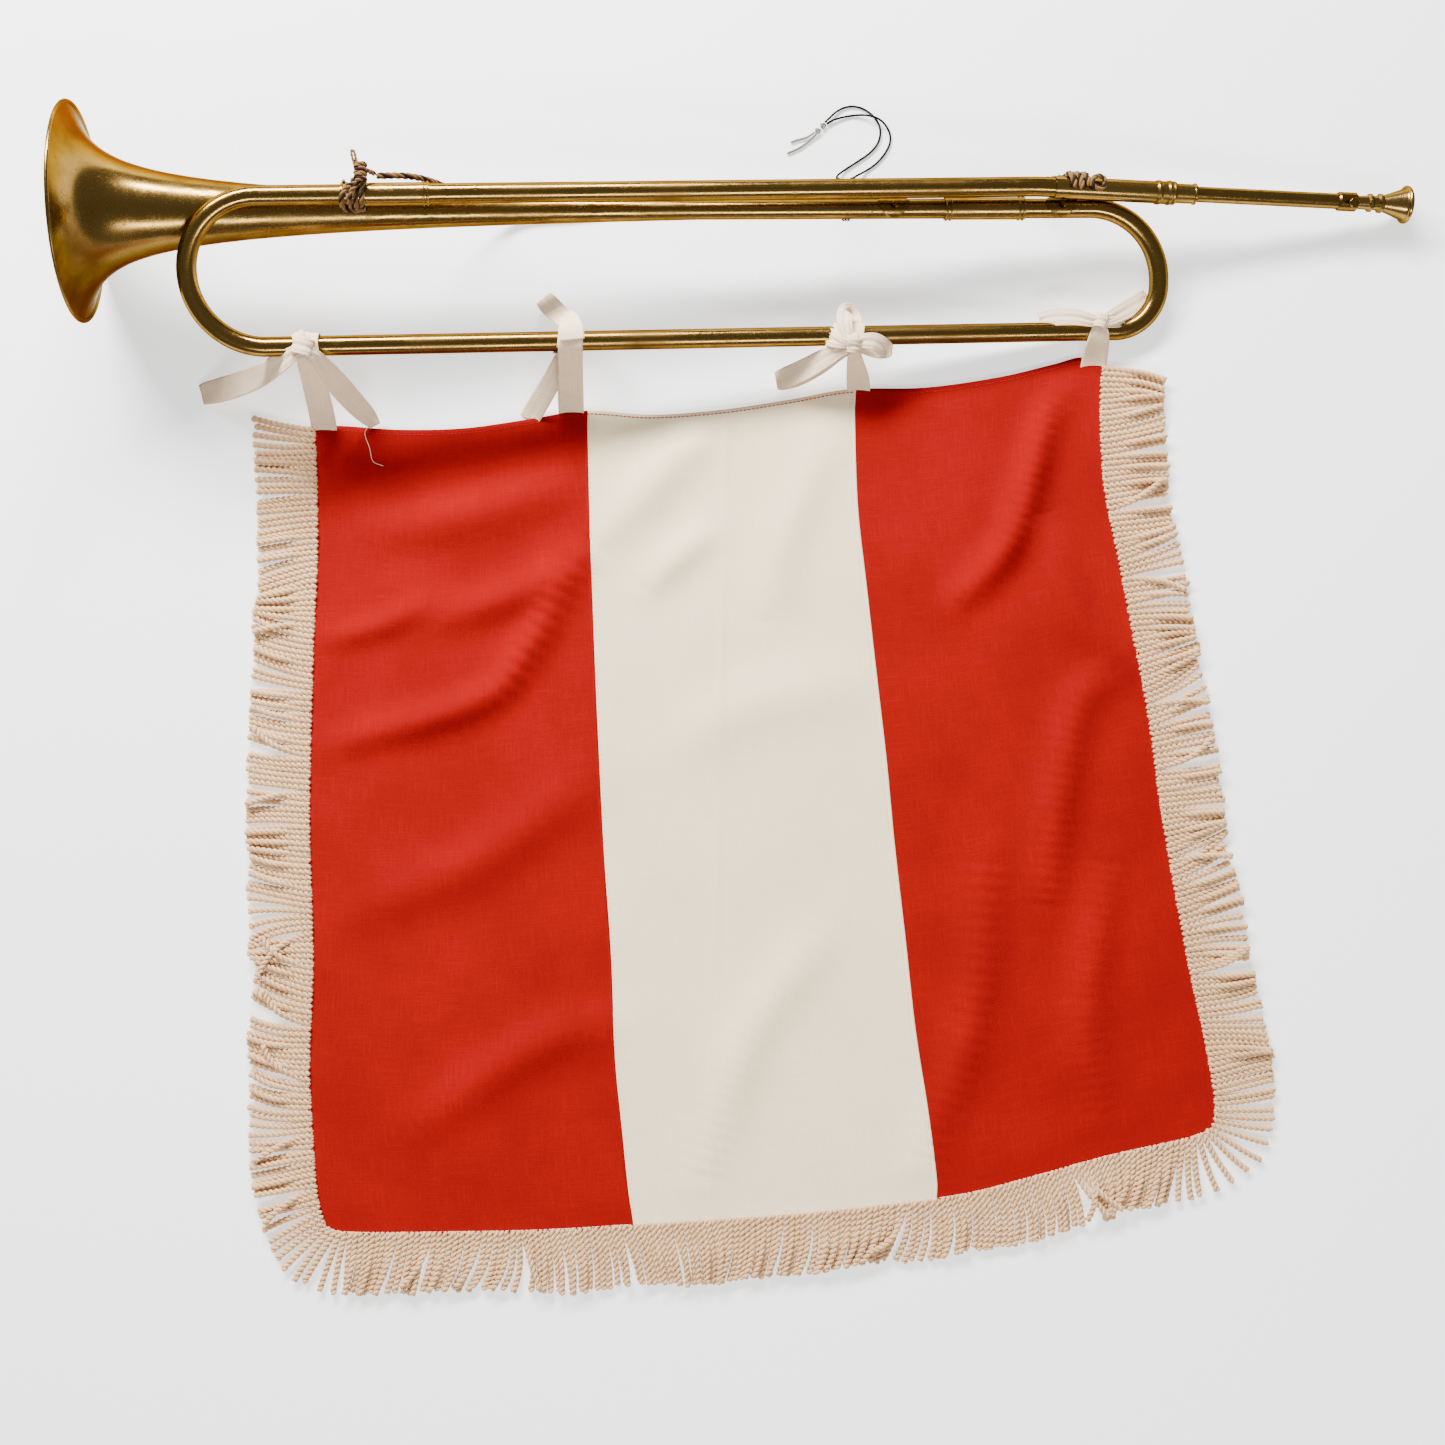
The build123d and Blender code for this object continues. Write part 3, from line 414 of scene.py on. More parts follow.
aged_brass = brass("aged_brass", (0.235, 0.140, 0.036), (0.062, 0.032, 0.008), 13.0, 0.85, 0.7, 0.08)
ferrule_brass = brass("ferrule_brass", (0.29, 0.178, 0.048), (0.080, 0.042, 0.011), 22.0, 0.75, 0.6, 0.08)
fitting_brass = brass("fitting_brass", (0.20, 0.115, 0.030), (0.045, 0.022, 0.006), 60.0, 0.9, 0.8, 0.15)
mouthpiece_brass = brass(
    "mouthpiece_brass", (0.30, 0.185, 0.055), (0.095, 0.050, 0.014), 30.0, 0.7, 0.5, 0.08
)
print("brass finishes", 4)

# %% [markdown]
# Cotton cloth is a grid of threads.  A plain weave rises where a thread passes over its neighbour,
# so two sine waves a thread apart give its height, and slow noise drawn out along each direction
# makes some threads thicker than others, as in linen.

# %% The plain weave group
plain_weave, given, result = new_group(
    "plain_weave",
    [("Thread", "Float", 0.5), ("Slub", "Float", 0.5)],
    [("Height", "Float"), ("Slubs", "Float"), ("Cloud", "Float")],
)
grain = node(plain_weave, "Attribute", attribute_name="grain").outputs["Vector"]
parts = node(plain_weave, "SeparateXYZ", {0: grain}).outputs
waves = []
for part in (parts[0], parts[1]):
    turns = math_node(plain_weave, "DIVIDE", part, given["Thread"])
    waves.append(math_node(plain_weave, "SINE", math_node(plain_weave, "MULTIPLY", turns, math.pi)))
woven = math_node(plain_weave, "MULTIPLY", waves[0], waves[1])
slubs = []
for stretch in ((0.05, 1.6, 1.0), (1.6, 0.05, 1.0)):
    drawn = node(plain_weave, "Mapping", {"Vector": grain, "Scale": stretch}).outputs[0]
    slubs.append(node(plain_weave, "TexNoise", {"Vector": drawn, "Scale": 1.0, "Detail": 3}).outputs["Fac"])
slub = math_node(plain_weave, "MAXIMUM", slubs[0], slubs[1])
slub = ramp(plain_weave, slub, 0.45, 0.75)
cloud = node(plain_weave, "TexNoise", {"Vector": grain, "Scale": 0.018, "Detail": 6}).outputs["Fac"]
lift = math_node(plain_weave, "MULTIPLY", slub, given["Slub"])
plain_weave.links.new(math_node(plain_weave, "ADD", woven, lift), result["Height"])
plain_weave.links.new(slub, result["Slubs"])
plain_weave.links.new(ramp(plain_weave, cloud, 0.35, 0.65), result["Cloud"])
print("group", plain_weave.name, len(plain_weave.nodes), "nodes")


# %% Cloth finishes
def woven_finish(name, light, shade, stain, thread, strength):
    """A woven cotton with slubs and faint stains."""

    def surface(tree):
        weave = place_group(tree, plain_weave, {"Thread": thread, "Slub": 0.8})
        body = blend_colours(tree, weave["Slubs"], (*shade, 1), (*light, 1))
        stained = math_node(tree, "MULTIPLY", weave["Cloud"], 0.45)
        body = blend_colours(tree, stained, body, (*stain, 1))
        links = {"Strength": strength, "Distance": 0.0002, "Height": weave["Height"]}
        bump = node(tree, "Bump", links).outputs[0]
        return {
            "Base Color": body,
            "Roughness": 0.9,
            "Normal": bump,
            "Sheen Weight": 0.02,
            "Specular IOR Level": 0.08,
        }

    return finish_of(name, surface)


red_cotton = woven_finish(
    "red_cotton", (0.30, 0.0005, 0.0008), (0.235, 0.0004, 0.0006), (0.17, 0.0004, 0.0006), 0.45, 0.45
)
cream_cotton = woven_finish(
    "cream_cotton", (0.96, 0.82, 0.56), (0.88, 0.72, 0.47), (0.86, 0.66, 0.42), 0.45, 0.45
)
tape_cotton = woven_finish(
    "tape_cotton", (0.93, 0.77, 0.55), (0.80, 0.61, 0.41), (0.74, 0.52, 0.34), 0.8, 0.7
)
print("cloth finishes", 3)

# %% [markdown]
# Thread and rope show fine fibres that wind round each strand, darker in the grooves between
# strands.  The grain vector already winds with the strand, so plain noise on it draws the fibres.

# %% The twisted fibre group
twisted_fibre, given, result = new_group(
    "twisted_fibre",
    [
        ("Light", "Color", (0.7, 0.5, 0.3, 1)),
        ("Dark", "Color", (0.4, 0.25, 0.14, 1)),
        ("Fineness", "Float", 2.5),
    ],
    [("Colour", "Color"), ("Height", "Float")],
)
grain = node(twisted_fibre, "Attribute", attribute_name="grain").outputs["Vector"]
fibres = node(
    twisted_fibre, "TexNoise", {"Vector": grain, "Scale": given["Fineness"], "Detail": 4, "Roughness": 0.6}
).outputs["Fac"]
spot = node(twisted_fibre, "TexCoord").outputs["Object"]
drift = node(twisted_fibre, "TexNoise", {"Vector": spot, "Scale": 45.0, "Detail": 3}).outputs["Fac"]
share = math_node(twisted_fibre, "ADD", ramp(twisted_fibre, fibres, 0.3, 0.7), drift)
share = math_node(twisted_fibre, "MULTIPLY", share, 0.6)
colour = blend_colours(twisted_fibre, share, given["Dark"], given["Light"])
twisted_fibre.links.new(colour, result["Colour"])
twisted_fibre.links.new(fibres, result["Height"])
print("group", twisted_fibre.name, len(twisted_fibre.nodes), "nodes")


# %% Thread finishes
def thread_finish(name, light, dark, fineness, roughness=0.85, sheen=0.10):
    """A twisted cotton or waxed thread."""

    def surface(tree):
        links = {"Light": (*light, 1), "Dark": (*dark, 1), "Fineness": fineness}
        fibre = place_group(tree, twisted_fibre, links)
        links = {"Strength": 0.5, "Distance": 0.0002, "Height": fibre["Height"]}
        bump = node(tree, "Bump", links).outputs[0]
        return {
            "Base Color": fibre["Colour"],
            "Roughness": roughness,
            "Normal": bump,
            "Sheen Weight": sheen,
            "Specular IOR Level": 0.15,
        }

    return finish_of(name, surface)


bullion_cotton = thread_finish("bullion_cotton", (0.74, 0.48, 0.26), (0.46, 0.26, 0.12), 2.5)
tan_strand = thread_finish("tan_strand", (0.20, 0.100, 0.022), (0.09, 0.040, 0.010), 2.5)
dark_strand = thread_finish("dark_strand", (0.022, 0.009, 0.004), (0.008, 0.004, 0.002), 2.5, 0.85, 0.0)
pink_strand = thread_finish("pink_strand", (0.26, 0.13, 0.050), (0.14, 0.065, 0.025), 2.5)
waxed_black = thread_finish("waxed_black", (0.006, 0.005, 0.005), (0.002, 0.002, 0.002), 3.5, 0.8, 0.0)
grey_thread = thread_finish("grey_thread", (0.26, 0.25, 0.24), (0.15, 0.14, 0.13), 3.5)
red_thread = thread_finish("red_thread", (0.42, 0.010, 0.020), (0.22, 0.006, 0.012), 4.0)
pale_thread = thread_finish("pale_thread", (0.85, 0.66, 0.55), (0.68, 0.46, 0.38), 4.0)
print("thread finishes", 8)

# %% [markdown]
# The carrying cord is the first soft piece.  It leaves the knot on the leadpipe at the left, drops
# behind the tubes to the table, runs under the bell tube and comes up behind the tuning sleeve.
# Its length is fixed, so its line is one NURBS spline, and three strands are twisted about it.

# %% The carrying cord
cord_rest = 0.0021
carrying_route = (
    (-0.3990, -0.0025, 0.0700),
    (-0.3860, -0.0012, 0.0680),
    (-0.3720, -0.0006, 0.0580),
    (-0.3610, -0.0015, 0.0420),
    (-0.3510, -0.0040, 0.0250),
    (-0.3370, -0.0075, 0.0100),
    (-0.3160, -0.0096, cord_rest),
    (-0.2900, -0.0086, cord_rest),
    (-0.2580, -0.0040, cord_rest),
    (-0.2220, 0.0015, cord_rest),
    (-0.1800, 0.0034, cord_rest),
    (-0.1380, 0.0010, cord_rest),
    (-0.0980, 0.0028, cord_rest),
    (-0.0600, 0.0076, cord_rest),
    (-0.0270, 0.0108, 0.0030),
    (-0.0040, 0.0112, 0.0090),
    (0.0120, 0.0102, 0.0170),
    (0.0224, 0.0100, 0.0260),
    (0.02416, 0.00815, 0.0360),
)
guide = spline_curve("carrying_guide", [bend + point for point in carrying_route])
cord_line = read_line(guide)
bpy.data.objects.remove(guide)
rope = MeshBag()
rope_into(rope, cord_line, 0.0021, 3, 0.0125, (0, 1, 0))
carrying_cord = rope.make("carrying_cord_rope", tan_strand, dark_strand)
settle(carrying_cord, "horn", "cord_cotton", "carrying_cord")
print("carrying cord", round(line_length(cord_line), 4), "m")


# %% [markdown]
# Where a cord is knotted round a tube it follows rings and short coils.  The straight tubes of the
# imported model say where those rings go: the middle of a sleeve's points is its centre, and the
# direction in which they spread most is its axis.

# %% Finding a tube's axis
def tube_line(name):
    """The middle and the direction, towards +X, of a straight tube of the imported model."""
    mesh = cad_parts[name].data
    points = np.empty(len(mesh.vertices) * 3)
    mesh.vertices.foreach_get("co", points)
    points = points.reshape(-1, 3)
    low, high = points.min(axis=0), points.max(axis=0)
    direction = np.linalg.svd(points - points.mean(axis=0), full_matrices=False)[2][0]
    direction = direction * np.sign(direction[0])
    return (low + high) / 2, direction


lead_middle, lead_along = tube_line("leadpipe_sleeve")
sleeve_middle, sleeve_along = tube_line("tuning_sleeve")
lower_middle, lower_along = tube_line("lower_tube")
bell_along = tube_line("bell_sleeve")[1]
table_up = np.array((0.0, 0.0, 1.0))
sleeve_radius = 0.0067
print("leadpipe sleeve", lead_middle.round(4), "tuning sleeve", sleeve_middle.round(4))


def turn_round(centre, along, radius, start, turn, shift=0.0, count=60):
    """A ring or coil round an axis.  Angles in degrees from the far side over the top."""
    far = unit(np.cross(table_up, along))
    top = np.cross(along, far)
    angle = np.radians(start + np.linspace(0.0, turn, count))[:, None]
    drift = np.linspace(-0.5, 0.5, count)[:, None] * shift * along
    return centre + drift + radius * (np.cos(angle) * far + np.sin(angle) * top)


# %% [markdown]
# The left knot is a small barrel of four turns that lies across the leadpipe, on a loop that
# holds the tube, with a thin upright loop behind it.  Coils and rings of the same rope show how
# it was tied.

# %% Left knot
knot_place = lead_middle - lead_along * 0.0155
knot = MeshBag()
for shift, tilt, start in ((-0.0022, 0.10, 0.0), (0.0024, -0.08, 1.5)):
    tilted = unit(lead_along + tilt * np.array((0.0, 1.0, 0.0)))
    ring = turn_round(knot_place + lead_along * shift, tilted, sleeve_radius + 0.0018, 20, 352)
    rope_into(knot, ring, 0.0017, 3, 0.0105, (0, 1, 0), start)
barrel_from = knot_place + np.array((0.0026, 0.0055, 0.0100))
barrel_to = barrel_from + np.array((-0.0006, 0.0110, -0.0028))
barrel_along = unit(barrel_to - barrel_from)
barrel = turn_round((barrel_from + barrel_to) / 2, barrel_along, 0.0026, 40, 4 * 360, 0.0126, 160)
rope_into(knot, barrel, 0.00165, 3, 0.0095, (0, 1, 0))
core = smooth([knot_place + np.array(p) for p in (
    (-0.0050, -0.0070, 0.0035), (-0.0030, -0.0010, 0.0090), (0.0016, 0.0050, 0.0102),
    (0.0026, 0.0115, 0.0086), (0.0050, 0.0128, 0.0050), (0.0090, 0.0129, -0.0030),
)], 50)
rope_into(knot, core, 0.0016, 3, 0.0100, (0, 1, 0))
strand_loop = smooth([knot_place + np.array(p) for p in (
    (0.0010, 0.0040, 0.0096), (-0.0050, 0.0020, 0.0092), (-0.0092, -0.0045, 0.0062),
    (-0.0080, -0.0086, 0.0012), (-0.0020, -0.0092, -0.0008), (0.0030, -0.0080, 0.0030),
)], 60)
rope_into(knot, strand_loop, 0.0018, 3, 0.0110, (0, 1, 0), 0.8)
knot_left = knot.make("cord_knot_left_coils", tan_strand, dark_strand)
settle(knot_left, "horn", "cord_cotton", "cord_knot_left")
print("left knot faces", len(knot_left.data.polygons))

# %% Thin loops at the left knot
thin = MeshBag()
upright = smooth([knot_place + np.array(p) for p in (
    (0.0008, 0.0120, 0.0066), (-0.0002, 0.0160, 0.0060), (-0.0012, 0.0215, 0.0052),
    (-0.0024, 0.0246, 0.0048), (-0.0036, 0.0240, 0.0048), (-0.0030, 0.0205, 0.0052),
    (-0.0016, 0.0160, 0.0060), (-0.0004, 0.0118, 0.0068),
)], 70)
rope_into(thin, upright, 0.0009, 2, 0.0050, (0,))
pale_ring = turn_round(knot_place - lead_along * 0.0070, unit(lead_along + np.array((0, 0.22, 0))),
                       sleeve_radius + 0.0012, 60, 330)
rope_into(thin, pale_ring, 0.0011, 2, 0.0060, (1,))
loop_left = thin.make("cord_loop_left_thread", tan_strand, pink_strand)
settle(loop_left, "horn", "cord_cotton", "cord_loop_left")
print("thin loops faces", len(loop_left.data.polygons))

# %% [markdown]
# At the right the cord comes up behind the tuning sleeve and lies over its top in three strands
# side by side, and a small eye of cord ends them.

# %% Right wrap and its eye
wrap_centre = sleeve_middle - sleeve_along * 0.01775
wrap = MeshBag()
arcs = ((-0.0046, -14, 116), (0.0, -20, 128), (0.0045, -10, 104))  # shift, start and turn
for number, (shift, start, turn) in enumerate(arcs):
    centre = wrap_centre + sleeve_along * shift
    arc = turn_round(centre, sleeve_along, sleeve_radius + 0.0020, start, turn, 0.002)
    rope_into(wrap, arc, 0.0019, 3, 0.0115, (0, 1, 0), 1.1 * number)
wrap_right = wrap.make("cord_wrap_right_strands", tan_strand, dark_strand)
settle(wrap_right, "horn", "cord_cotton", "cord_wrap_right")

eye = MeshBag()
eye_centre = sleeve_middle - sleeve_along * 0.0055
eye_points = []
for step in range(41):
    angle = 2 * math.pi * step / 40
    sideways = np.array((-sleeve_along[1], sleeve_along[0], 0.0))
    lift = table_up * (sleeve_radius + 0.0024 + 0.0007 * math.cos(2 * angle))
    eye_points.append(
        eye_centre + lift + 0.0040 * math.cos(angle) * sleeve_along
        + sideways * (0.0020 + 0.0040 * math.sin(angle))
    )
rope_into(eye, np.array(eye_points), 0.0016, 3, 0.0100, (0, 1, 0))
loop_right = eye.make("cord_loop_right_eye", tan_strand, dark_strand)
settle(loop_right, "horn", "cord_cotton", "cord_loop_right")
print("right wrap faces", len(wrap_right.data.polygons))

# %% [markdown]
# A thin waxed string is hitched round the bell tube.  Its two halves drop to the table, swing out
# and back, and meet in a double knot with two pale tails.  A string this thin is two fine strands
# twisted together, and each half is a free cord of its own.

# %% The dark string
string_rest = 0.0007
string_route_a = (
    (-0.1195, -0.0042, 0.0334), (-0.1197, 0.0016, 0.0324), (-0.1203, 0.0070, 0.0265),
    (-0.1210, 0.0106, 0.0180), (-0.1216, 0.0132, 0.0090), (-0.1209, 0.0166, 0.0026),
    (-0.1165, 0.0204, string_rest), (-0.1085, 0.0256, string_rest), (-0.1010, 0.0304, string_rest),
    (-0.0955, 0.0361, string_rest), (-0.0933, 0.0424, string_rest), (-0.0938, 0.0486, string_rest),
    (-0.0972, 0.0542, string_rest), (-0.1025, 0.0585, string_rest), (-0.1088, 0.0609, string_rest),
    (-0.1153, 0.0606, string_rest), (-0.1212, 0.0576, 0.0010), (-0.1256, 0.0532, 0.0015),
    (-0.1285, 0.0504, 0.0016),
)
string_route_b = (
    (-0.1160, -0.0042, 0.0332), (-0.1157, 0.0016, 0.0322), (-0.1146, 0.0070, 0.0265),
    (-0.1129, 0.0106, 0.0180), (-0.1112, 0.0132, 0.0090), (-0.1084, 0.0166, 0.0026),
    (-0.1026, 0.0200, string_rest), (-0.0962, 0.0244, string_rest), (-0.0910, 0.0302, string_rest),
    (-0.0874, 0.0366, string_rest), (-0.0870, 0.0430, string_rest), (-0.0899, 0.0484, 0.0020),
    (-0.0940, 0.0519, 0.0034), (-0.0986, 0.0539, 0.0034), (-0.1046, 0.0552, 0.0016),
    (-0.1110, 0.0551, string_rest), (-0.1176, 0.0538, 0.0010), (-0.1244, 0.0517, 0.0015),
    (-0.1274, 0.0494, 0.0016),
)
string_tail_a = (
    (-0.1351, 0.0442, 0.0016), (-0.1380, 0.0420, 0.0011), (-0.1417, 0.0406, string_rest),
    (-0.1460, 0.0396, string_rest), (-0.1501, 0.0381, string_rest),
)
string_tail_b = (
    (-0.1341, 0.0431, 0.0016), (-0.1367, 0.0406, 0.0011), (-0.1396, 0.0380, string_rest),
    (-0.1442, 0.0347, string_rest), (-0.1485, 0.0327, string_rest), (-0.1523, 0.0311, string_rest),
)
string_parts = {
    "string_strand_a": (string_route_a, waxed_black),
    "string_strand_b": (string_route_b, waxed_black),
    "string_tail_a": (string_tail_a, grey_thread),
    "string_tail_b": (string_tail_b, grey_thread),
}
strings = {}
for name, (route, finish) in string_parts.items():
    guide = spline_curve("string_guide", [bend + point for point in route])
    line = read_line(guide)
    bpy.data.objects.remove(guide)
    bag = MeshBag()
    rope_into(bag, line, 0.00078, 3, 0.0045, (0,), sides=6)
    string = bag.make(name + "_twist", finish)
    settle(string, "horn", "string_black", name)
    strings[name] = (string, line)
    print(name, round(line_length(line), 4), "m")

# %% The string's hitch and its double knot
hitch = MeshBag()
hitch_box = np.array(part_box("string_hitch"))
hitch_middle = hitch_box.mean(axis=0)
for shift in (-0.0017, 0.0, 0.0017):
    under = turn_round(hitch_middle + bell_along * shift, bell_along, 0.00665, -15, -165, 0.0010)
    rope_into(hitch, under, 0.0006, 2, 0.0034, (0,), sides=6)
string_hitch = hitch.make("string_hitch_turns", waxed_black)
settle(string_hitch, "horn", "string_black", "string_hitch")

knots = MeshBag()
for centre, turned in (((-0.1297, 0.0484, 0.0016), 0.4), ((-0.1331, 0.0451, 0.0016), 2.2)):
    trefoil = []
    for step in range(64):
        angle = 2 * math.pi * step / 63
        around = 2 + math.cos(3 * angle)
        trefoil.append((
            0.00052 * around * math.cos(2 * angle + turned),
            0.00052 * around * math.sin(2 * angle + turned),
            0.00060 * math.sin(3 * angle),
        ))
    knots.add_tube(bend + np.array(centre) + np.array(trefoil), 0.00058, 8, 0, 1.1)
string_knot = knots.make("string_double_knot", grey_thread)
settle(string_knot, "horn", "string_black", "string_knot")
tails = [strings["string_tail_a"][0], strings["string_tail_b"][0]]
for name, route, length, pieces in (
    ("string_strand_a", string_route_a, 0.127, [string_hitch, string_knot, *tails]),
    ("string_strand_b", string_route_b, 0.122, []),
):
    string, line = strings[name]
print("hitch and knots", len(string_hitch.data.polygons), len(string_knot.data.polygons))

# %% [markdown]
# The banner lies flat, but no cloth lies dead flat.  Its outline is four slightly wavy edges, and
# a surface between them is blended from those edges.  Soft folds run across it from where the
# ties pull, and a sharp crease down the middle tells how it was stored.

# %% The banner's edges
mm = 0.001
left_edge = drawn_from[:2] + smooth(mm * np.array((
    (-266.5, 181.2), (-265.0, 140.0), (-264.9, 99.0), (-267.2, 48.0), (-269.3, -27.0), (-269.7, -77.0),
    (-267.6, -153.0), (-269.8, -216.0), (-268.4, -254.0), (-265.0, -300.0), (-259.0, -322.0),
)), 300)
right_edge = drawn_from[:2] + smooth(mm * np.array((
    (233.8, 219.5), (232.4, 200.0), (234.5, 149.0), (244.0, 99.0), (253.4, 48.6), (262.9, -1.8),
    (269.8, -52.0), (278.0, -102.0), (287.4, -153.0), (298.2, -203.0), (304.6, -244.0), (302.0, -260.0),
)), 300)
top_edge = drawn_from[:2] + smooth(mm * np.array((
    (-266.5, 181.2), (-250.0, 183.5), (-211.0, 181.0), (-170.0, 182.0), (-130.0, 187.5), (-94.0, 193.0),
    (-52.0, 190.5), (-9.0, 193.4), (35.0, 200.0), (72.7, 206.5), (120.0, 207.5), (167.0, 214.2),
    (200.0, 222.0), (219.5, 226.6), (233.8, 219.5),
)), 300)
bottom_edge = drawn_from[:2] + smooth(mm * np.array((
    (-259.0, -322.0), (-243.0, -326.6), (-167.0, -326.3), (-116.0, -325.0), (-66.0, -322.0),
    (41.0, -314.7), (136.0, -304.0), (186.0, -292.0), (236.0, -278.2), (286.0, -267.0), (302.0, -260.0),
)), 300)
print("banner top", round(line_length(top_edge), 3), "side", round(line_length(left_edge), 3))


# %% [markdown]
# Each fold is a line of listed points with a width and a height.  Its height fades out at
# both ends and across it, so folds melt into each other.

# %% Folds
folds = (  # points, width and height in millimetres
    (((-240, 118), (-170, 126), (-94, 149)), 16, 2.4),
    (((-190, 60), (-140, 76), (-100, 98)), 12, 2.6),
    (((-254, -18), (-161, 10), (-128, 46), (-99, 98)), 11, 3.4),
    (((-262, 48), (-221, 58), (-190, 74)), 9, 1.8),
    (((-88, 108), (-52, 146), (-15, 187)), 15, 2.6),
    (((-57, 80), (-34, 102), (-13, 120)), 11, 2.2),
    (((204, 202), (194, 180), (178, 124), (163, 96), (138, 71)), 11, 4.2),
    (((192, 128), (215, 64), (242, 31)), 13, 2.8),
    (((242, 31), (217, 8), (205, -43), (196, -120)), 13, 3.2),
    (((60, 180), (30, 110), (24, 60)), 15, 1.8),
    (((-230, -120), (-160, -90), (-90, -40)), 16, 2.2),
    (((-200, -260), (-130, -210), (-70, -190)), 15, 2.4),
    (((-20, -290), (10, -200), (60, -130)), 16, 2.4),
    (((120, -280), (150, -190), (160, -90)), 14, 2.6),
    (((230, -250), (222, -180), (236, -90)), 13, 2.4),
    (((-40, -20), (20, 10), (90, 20)), 20, 1.8),
)
fold_strength = 2.1  # all the heights are raised by this
fold_lines = [(smooth(points, 24), width, height) for points, width, height in folds]


def fold_height(places):
    """How far the folds lift the cloth at places on the table, all in metres."""
    here = (places[:, :2] - drawn_from[:2]) * 1000.0
    lift = np.zeros(len(here))
    for line, width, height in fold_lines:
        gaps = np.linalg.norm(here[:, None, :] - line[None, :, :], axis=2)
        nearest = gaps.argmin(axis=1)
        gap = gaps.min(axis=1)
        fade = np.sin(np.pi * np.clip((nearest + 1.0) / 25.0, 0.0, 1.0)) ** 0.7
        lift += fold_strength * height * fade * np.exp(-((gap / width) ** 2))
    x, y = here.T
    lift += 0.5 * (1 + np.sin(x / 31 + 1.3 * np.sin(y / 47))) * (1 + np.sin(y / 38 + 0.8)) / 2
    lift += 0.25 * (1 + np.sin((x + 0.6 * y) / 9.5 + 2 * np.sin(x / 60)))
    crease = -9 + 0.02 * y
    lift += 0.9 * np.exp(-(((x - crease) / 1.6) ** 2)) * (0.6 + 0.4 * np.sin(y / 23))
    return lift * 0.001


cloth_rest = 0.0019  # over the table, where no fold lifts it


def cloth_places(across, down):
    """Points in the middle of the cloth's thickness, by shares across and down."""
    across = np.clip(np.asarray(across, float), 0.0, 1.0)
    down = np.clip(np.asarray(down, float), 0.0, 1.0)
    step = np.linspace(0.0, 1.0, 300)

    def at(edge, share):
        return np.stack([np.interp(share, step, edge[:, 0]), np.interp(share, step, edge[:, 1])], axis=-1)

    u, v = across[:, None], down[:, None]
    corners = (
        (1 - u) * (1 - v) * top_edge[0] + u * (1 - v) * top_edge[-1]
        + (1 - u) * v * bottom_edge[0] + u * v * bottom_edge[-1]
    )
    flat = (
        (1 - v) * at(top_edge, across) + v * at(bottom_edge, across)
        + (1 - u) * at(left_edge, down) + u * at(right_edge, down) - corners
    )
    rim = np.minimum.reduce((across, 1 - across, down, 1 - down)) * 500.0
    calm = 0.30 + 0.70 * np.clip(rim / 22.0, 0.0, 1.0)
    height = cloth_rest + fold_height(flat) * calm
    return np.column_stack((flat, height))


print("folds", len(fold_lines))

# %% [markdown]
# The cloth itself is one fine grid, red at the sides and cream between the two seams.  It gets a
# back face 0.7 mm below, because a single sheet of faces shows no edge.

# %% Cloth
left_seam, right_seam = 0.344, 0.680
columns = np.unique(np.concatenate((
    np.linspace(0.0, left_seam, 79),
    np.linspace(left_seam, right_seam, 77),
    np.linspace(right_seam, 1.0, 73),
)))
rows = np.linspace(0.0, 1.0, 221)
across, down = np.meshgrid(columns, rows)
places = cloth_places(across.ravel(), down.ravel()).reshape(len(rows), len(columns), 3)
half = np.array((0.0, 0.0, 0.00035))  # of the cloth's thickness
both = np.concatenate((places + half, places[:, ::-1] - half), axis=1)
weft = np.stack((across * 530.0, down * 515.0, np.zeros_like(across)), axis=-1)  # its flat size
sheet = MeshBag()
sheet.add_grid(both, np.concatenate((weft, weft[:, ::-1]), axis=1), 0, True, False)
ring = len(columns) * 2
middles = (columns[:-1] + columns[1:]) / 2
row_slots = [1 if left_seam < middle < right_seam else 0 for middle in middles]
sheet.slots = (row_slots + [0] + row_slots[::-1] + [0]) * (len(rows) - 1)
for row in (0, len(rows) - 1):
    base = row * ring
    for column in range(len(columns) - 1):
        quad = [base + column, base + column + 1, base + ring - 2 - column, base + ring - 1 - column]
        sheet.faces.append(quad if row else quad[::-1])
        sheet.slots.append(row_slots[column])
banner_cloth = sheet.make("banner_cloth", red_cotton, cream_cotton)
settle(banner_cloth, "banner", "red_cotton", "left_panel", "centre_panel", "right_panel", "top_hem")
print("cloth faces", len(banner_cloth.data.polygons), "highest", round(float(places[..., 2].max()), 4))


# %% [markdown]
# Stitches are short raised dashes of thread.  A row of them holds the turned-in edge at the top,
# in red thread over the cream part, and a row inside each side holds the fringe.  The seams
# between the panels are narrow folded ridges.

# %% Stitches and seams
def stitch_row(bag, across, down, pitch, slot, radius=0.00022):
    """Dashes of thread along a row of shares over the cloth."""
    line = cloth_places(across, down)
    line = even(line, int(line_length(line) / pitch) * 6 + 1)
    for start in range(0, len(line) - 5, 6):
        dash = line[start:start + 5].copy()
        dash[:, 2] += 0.00035 + np.array((-0.0002, 0.00012, 0.0002, 0.00012, -0.0002))
        bag.add_tube(dash, radius, 6, slot, 2.0)


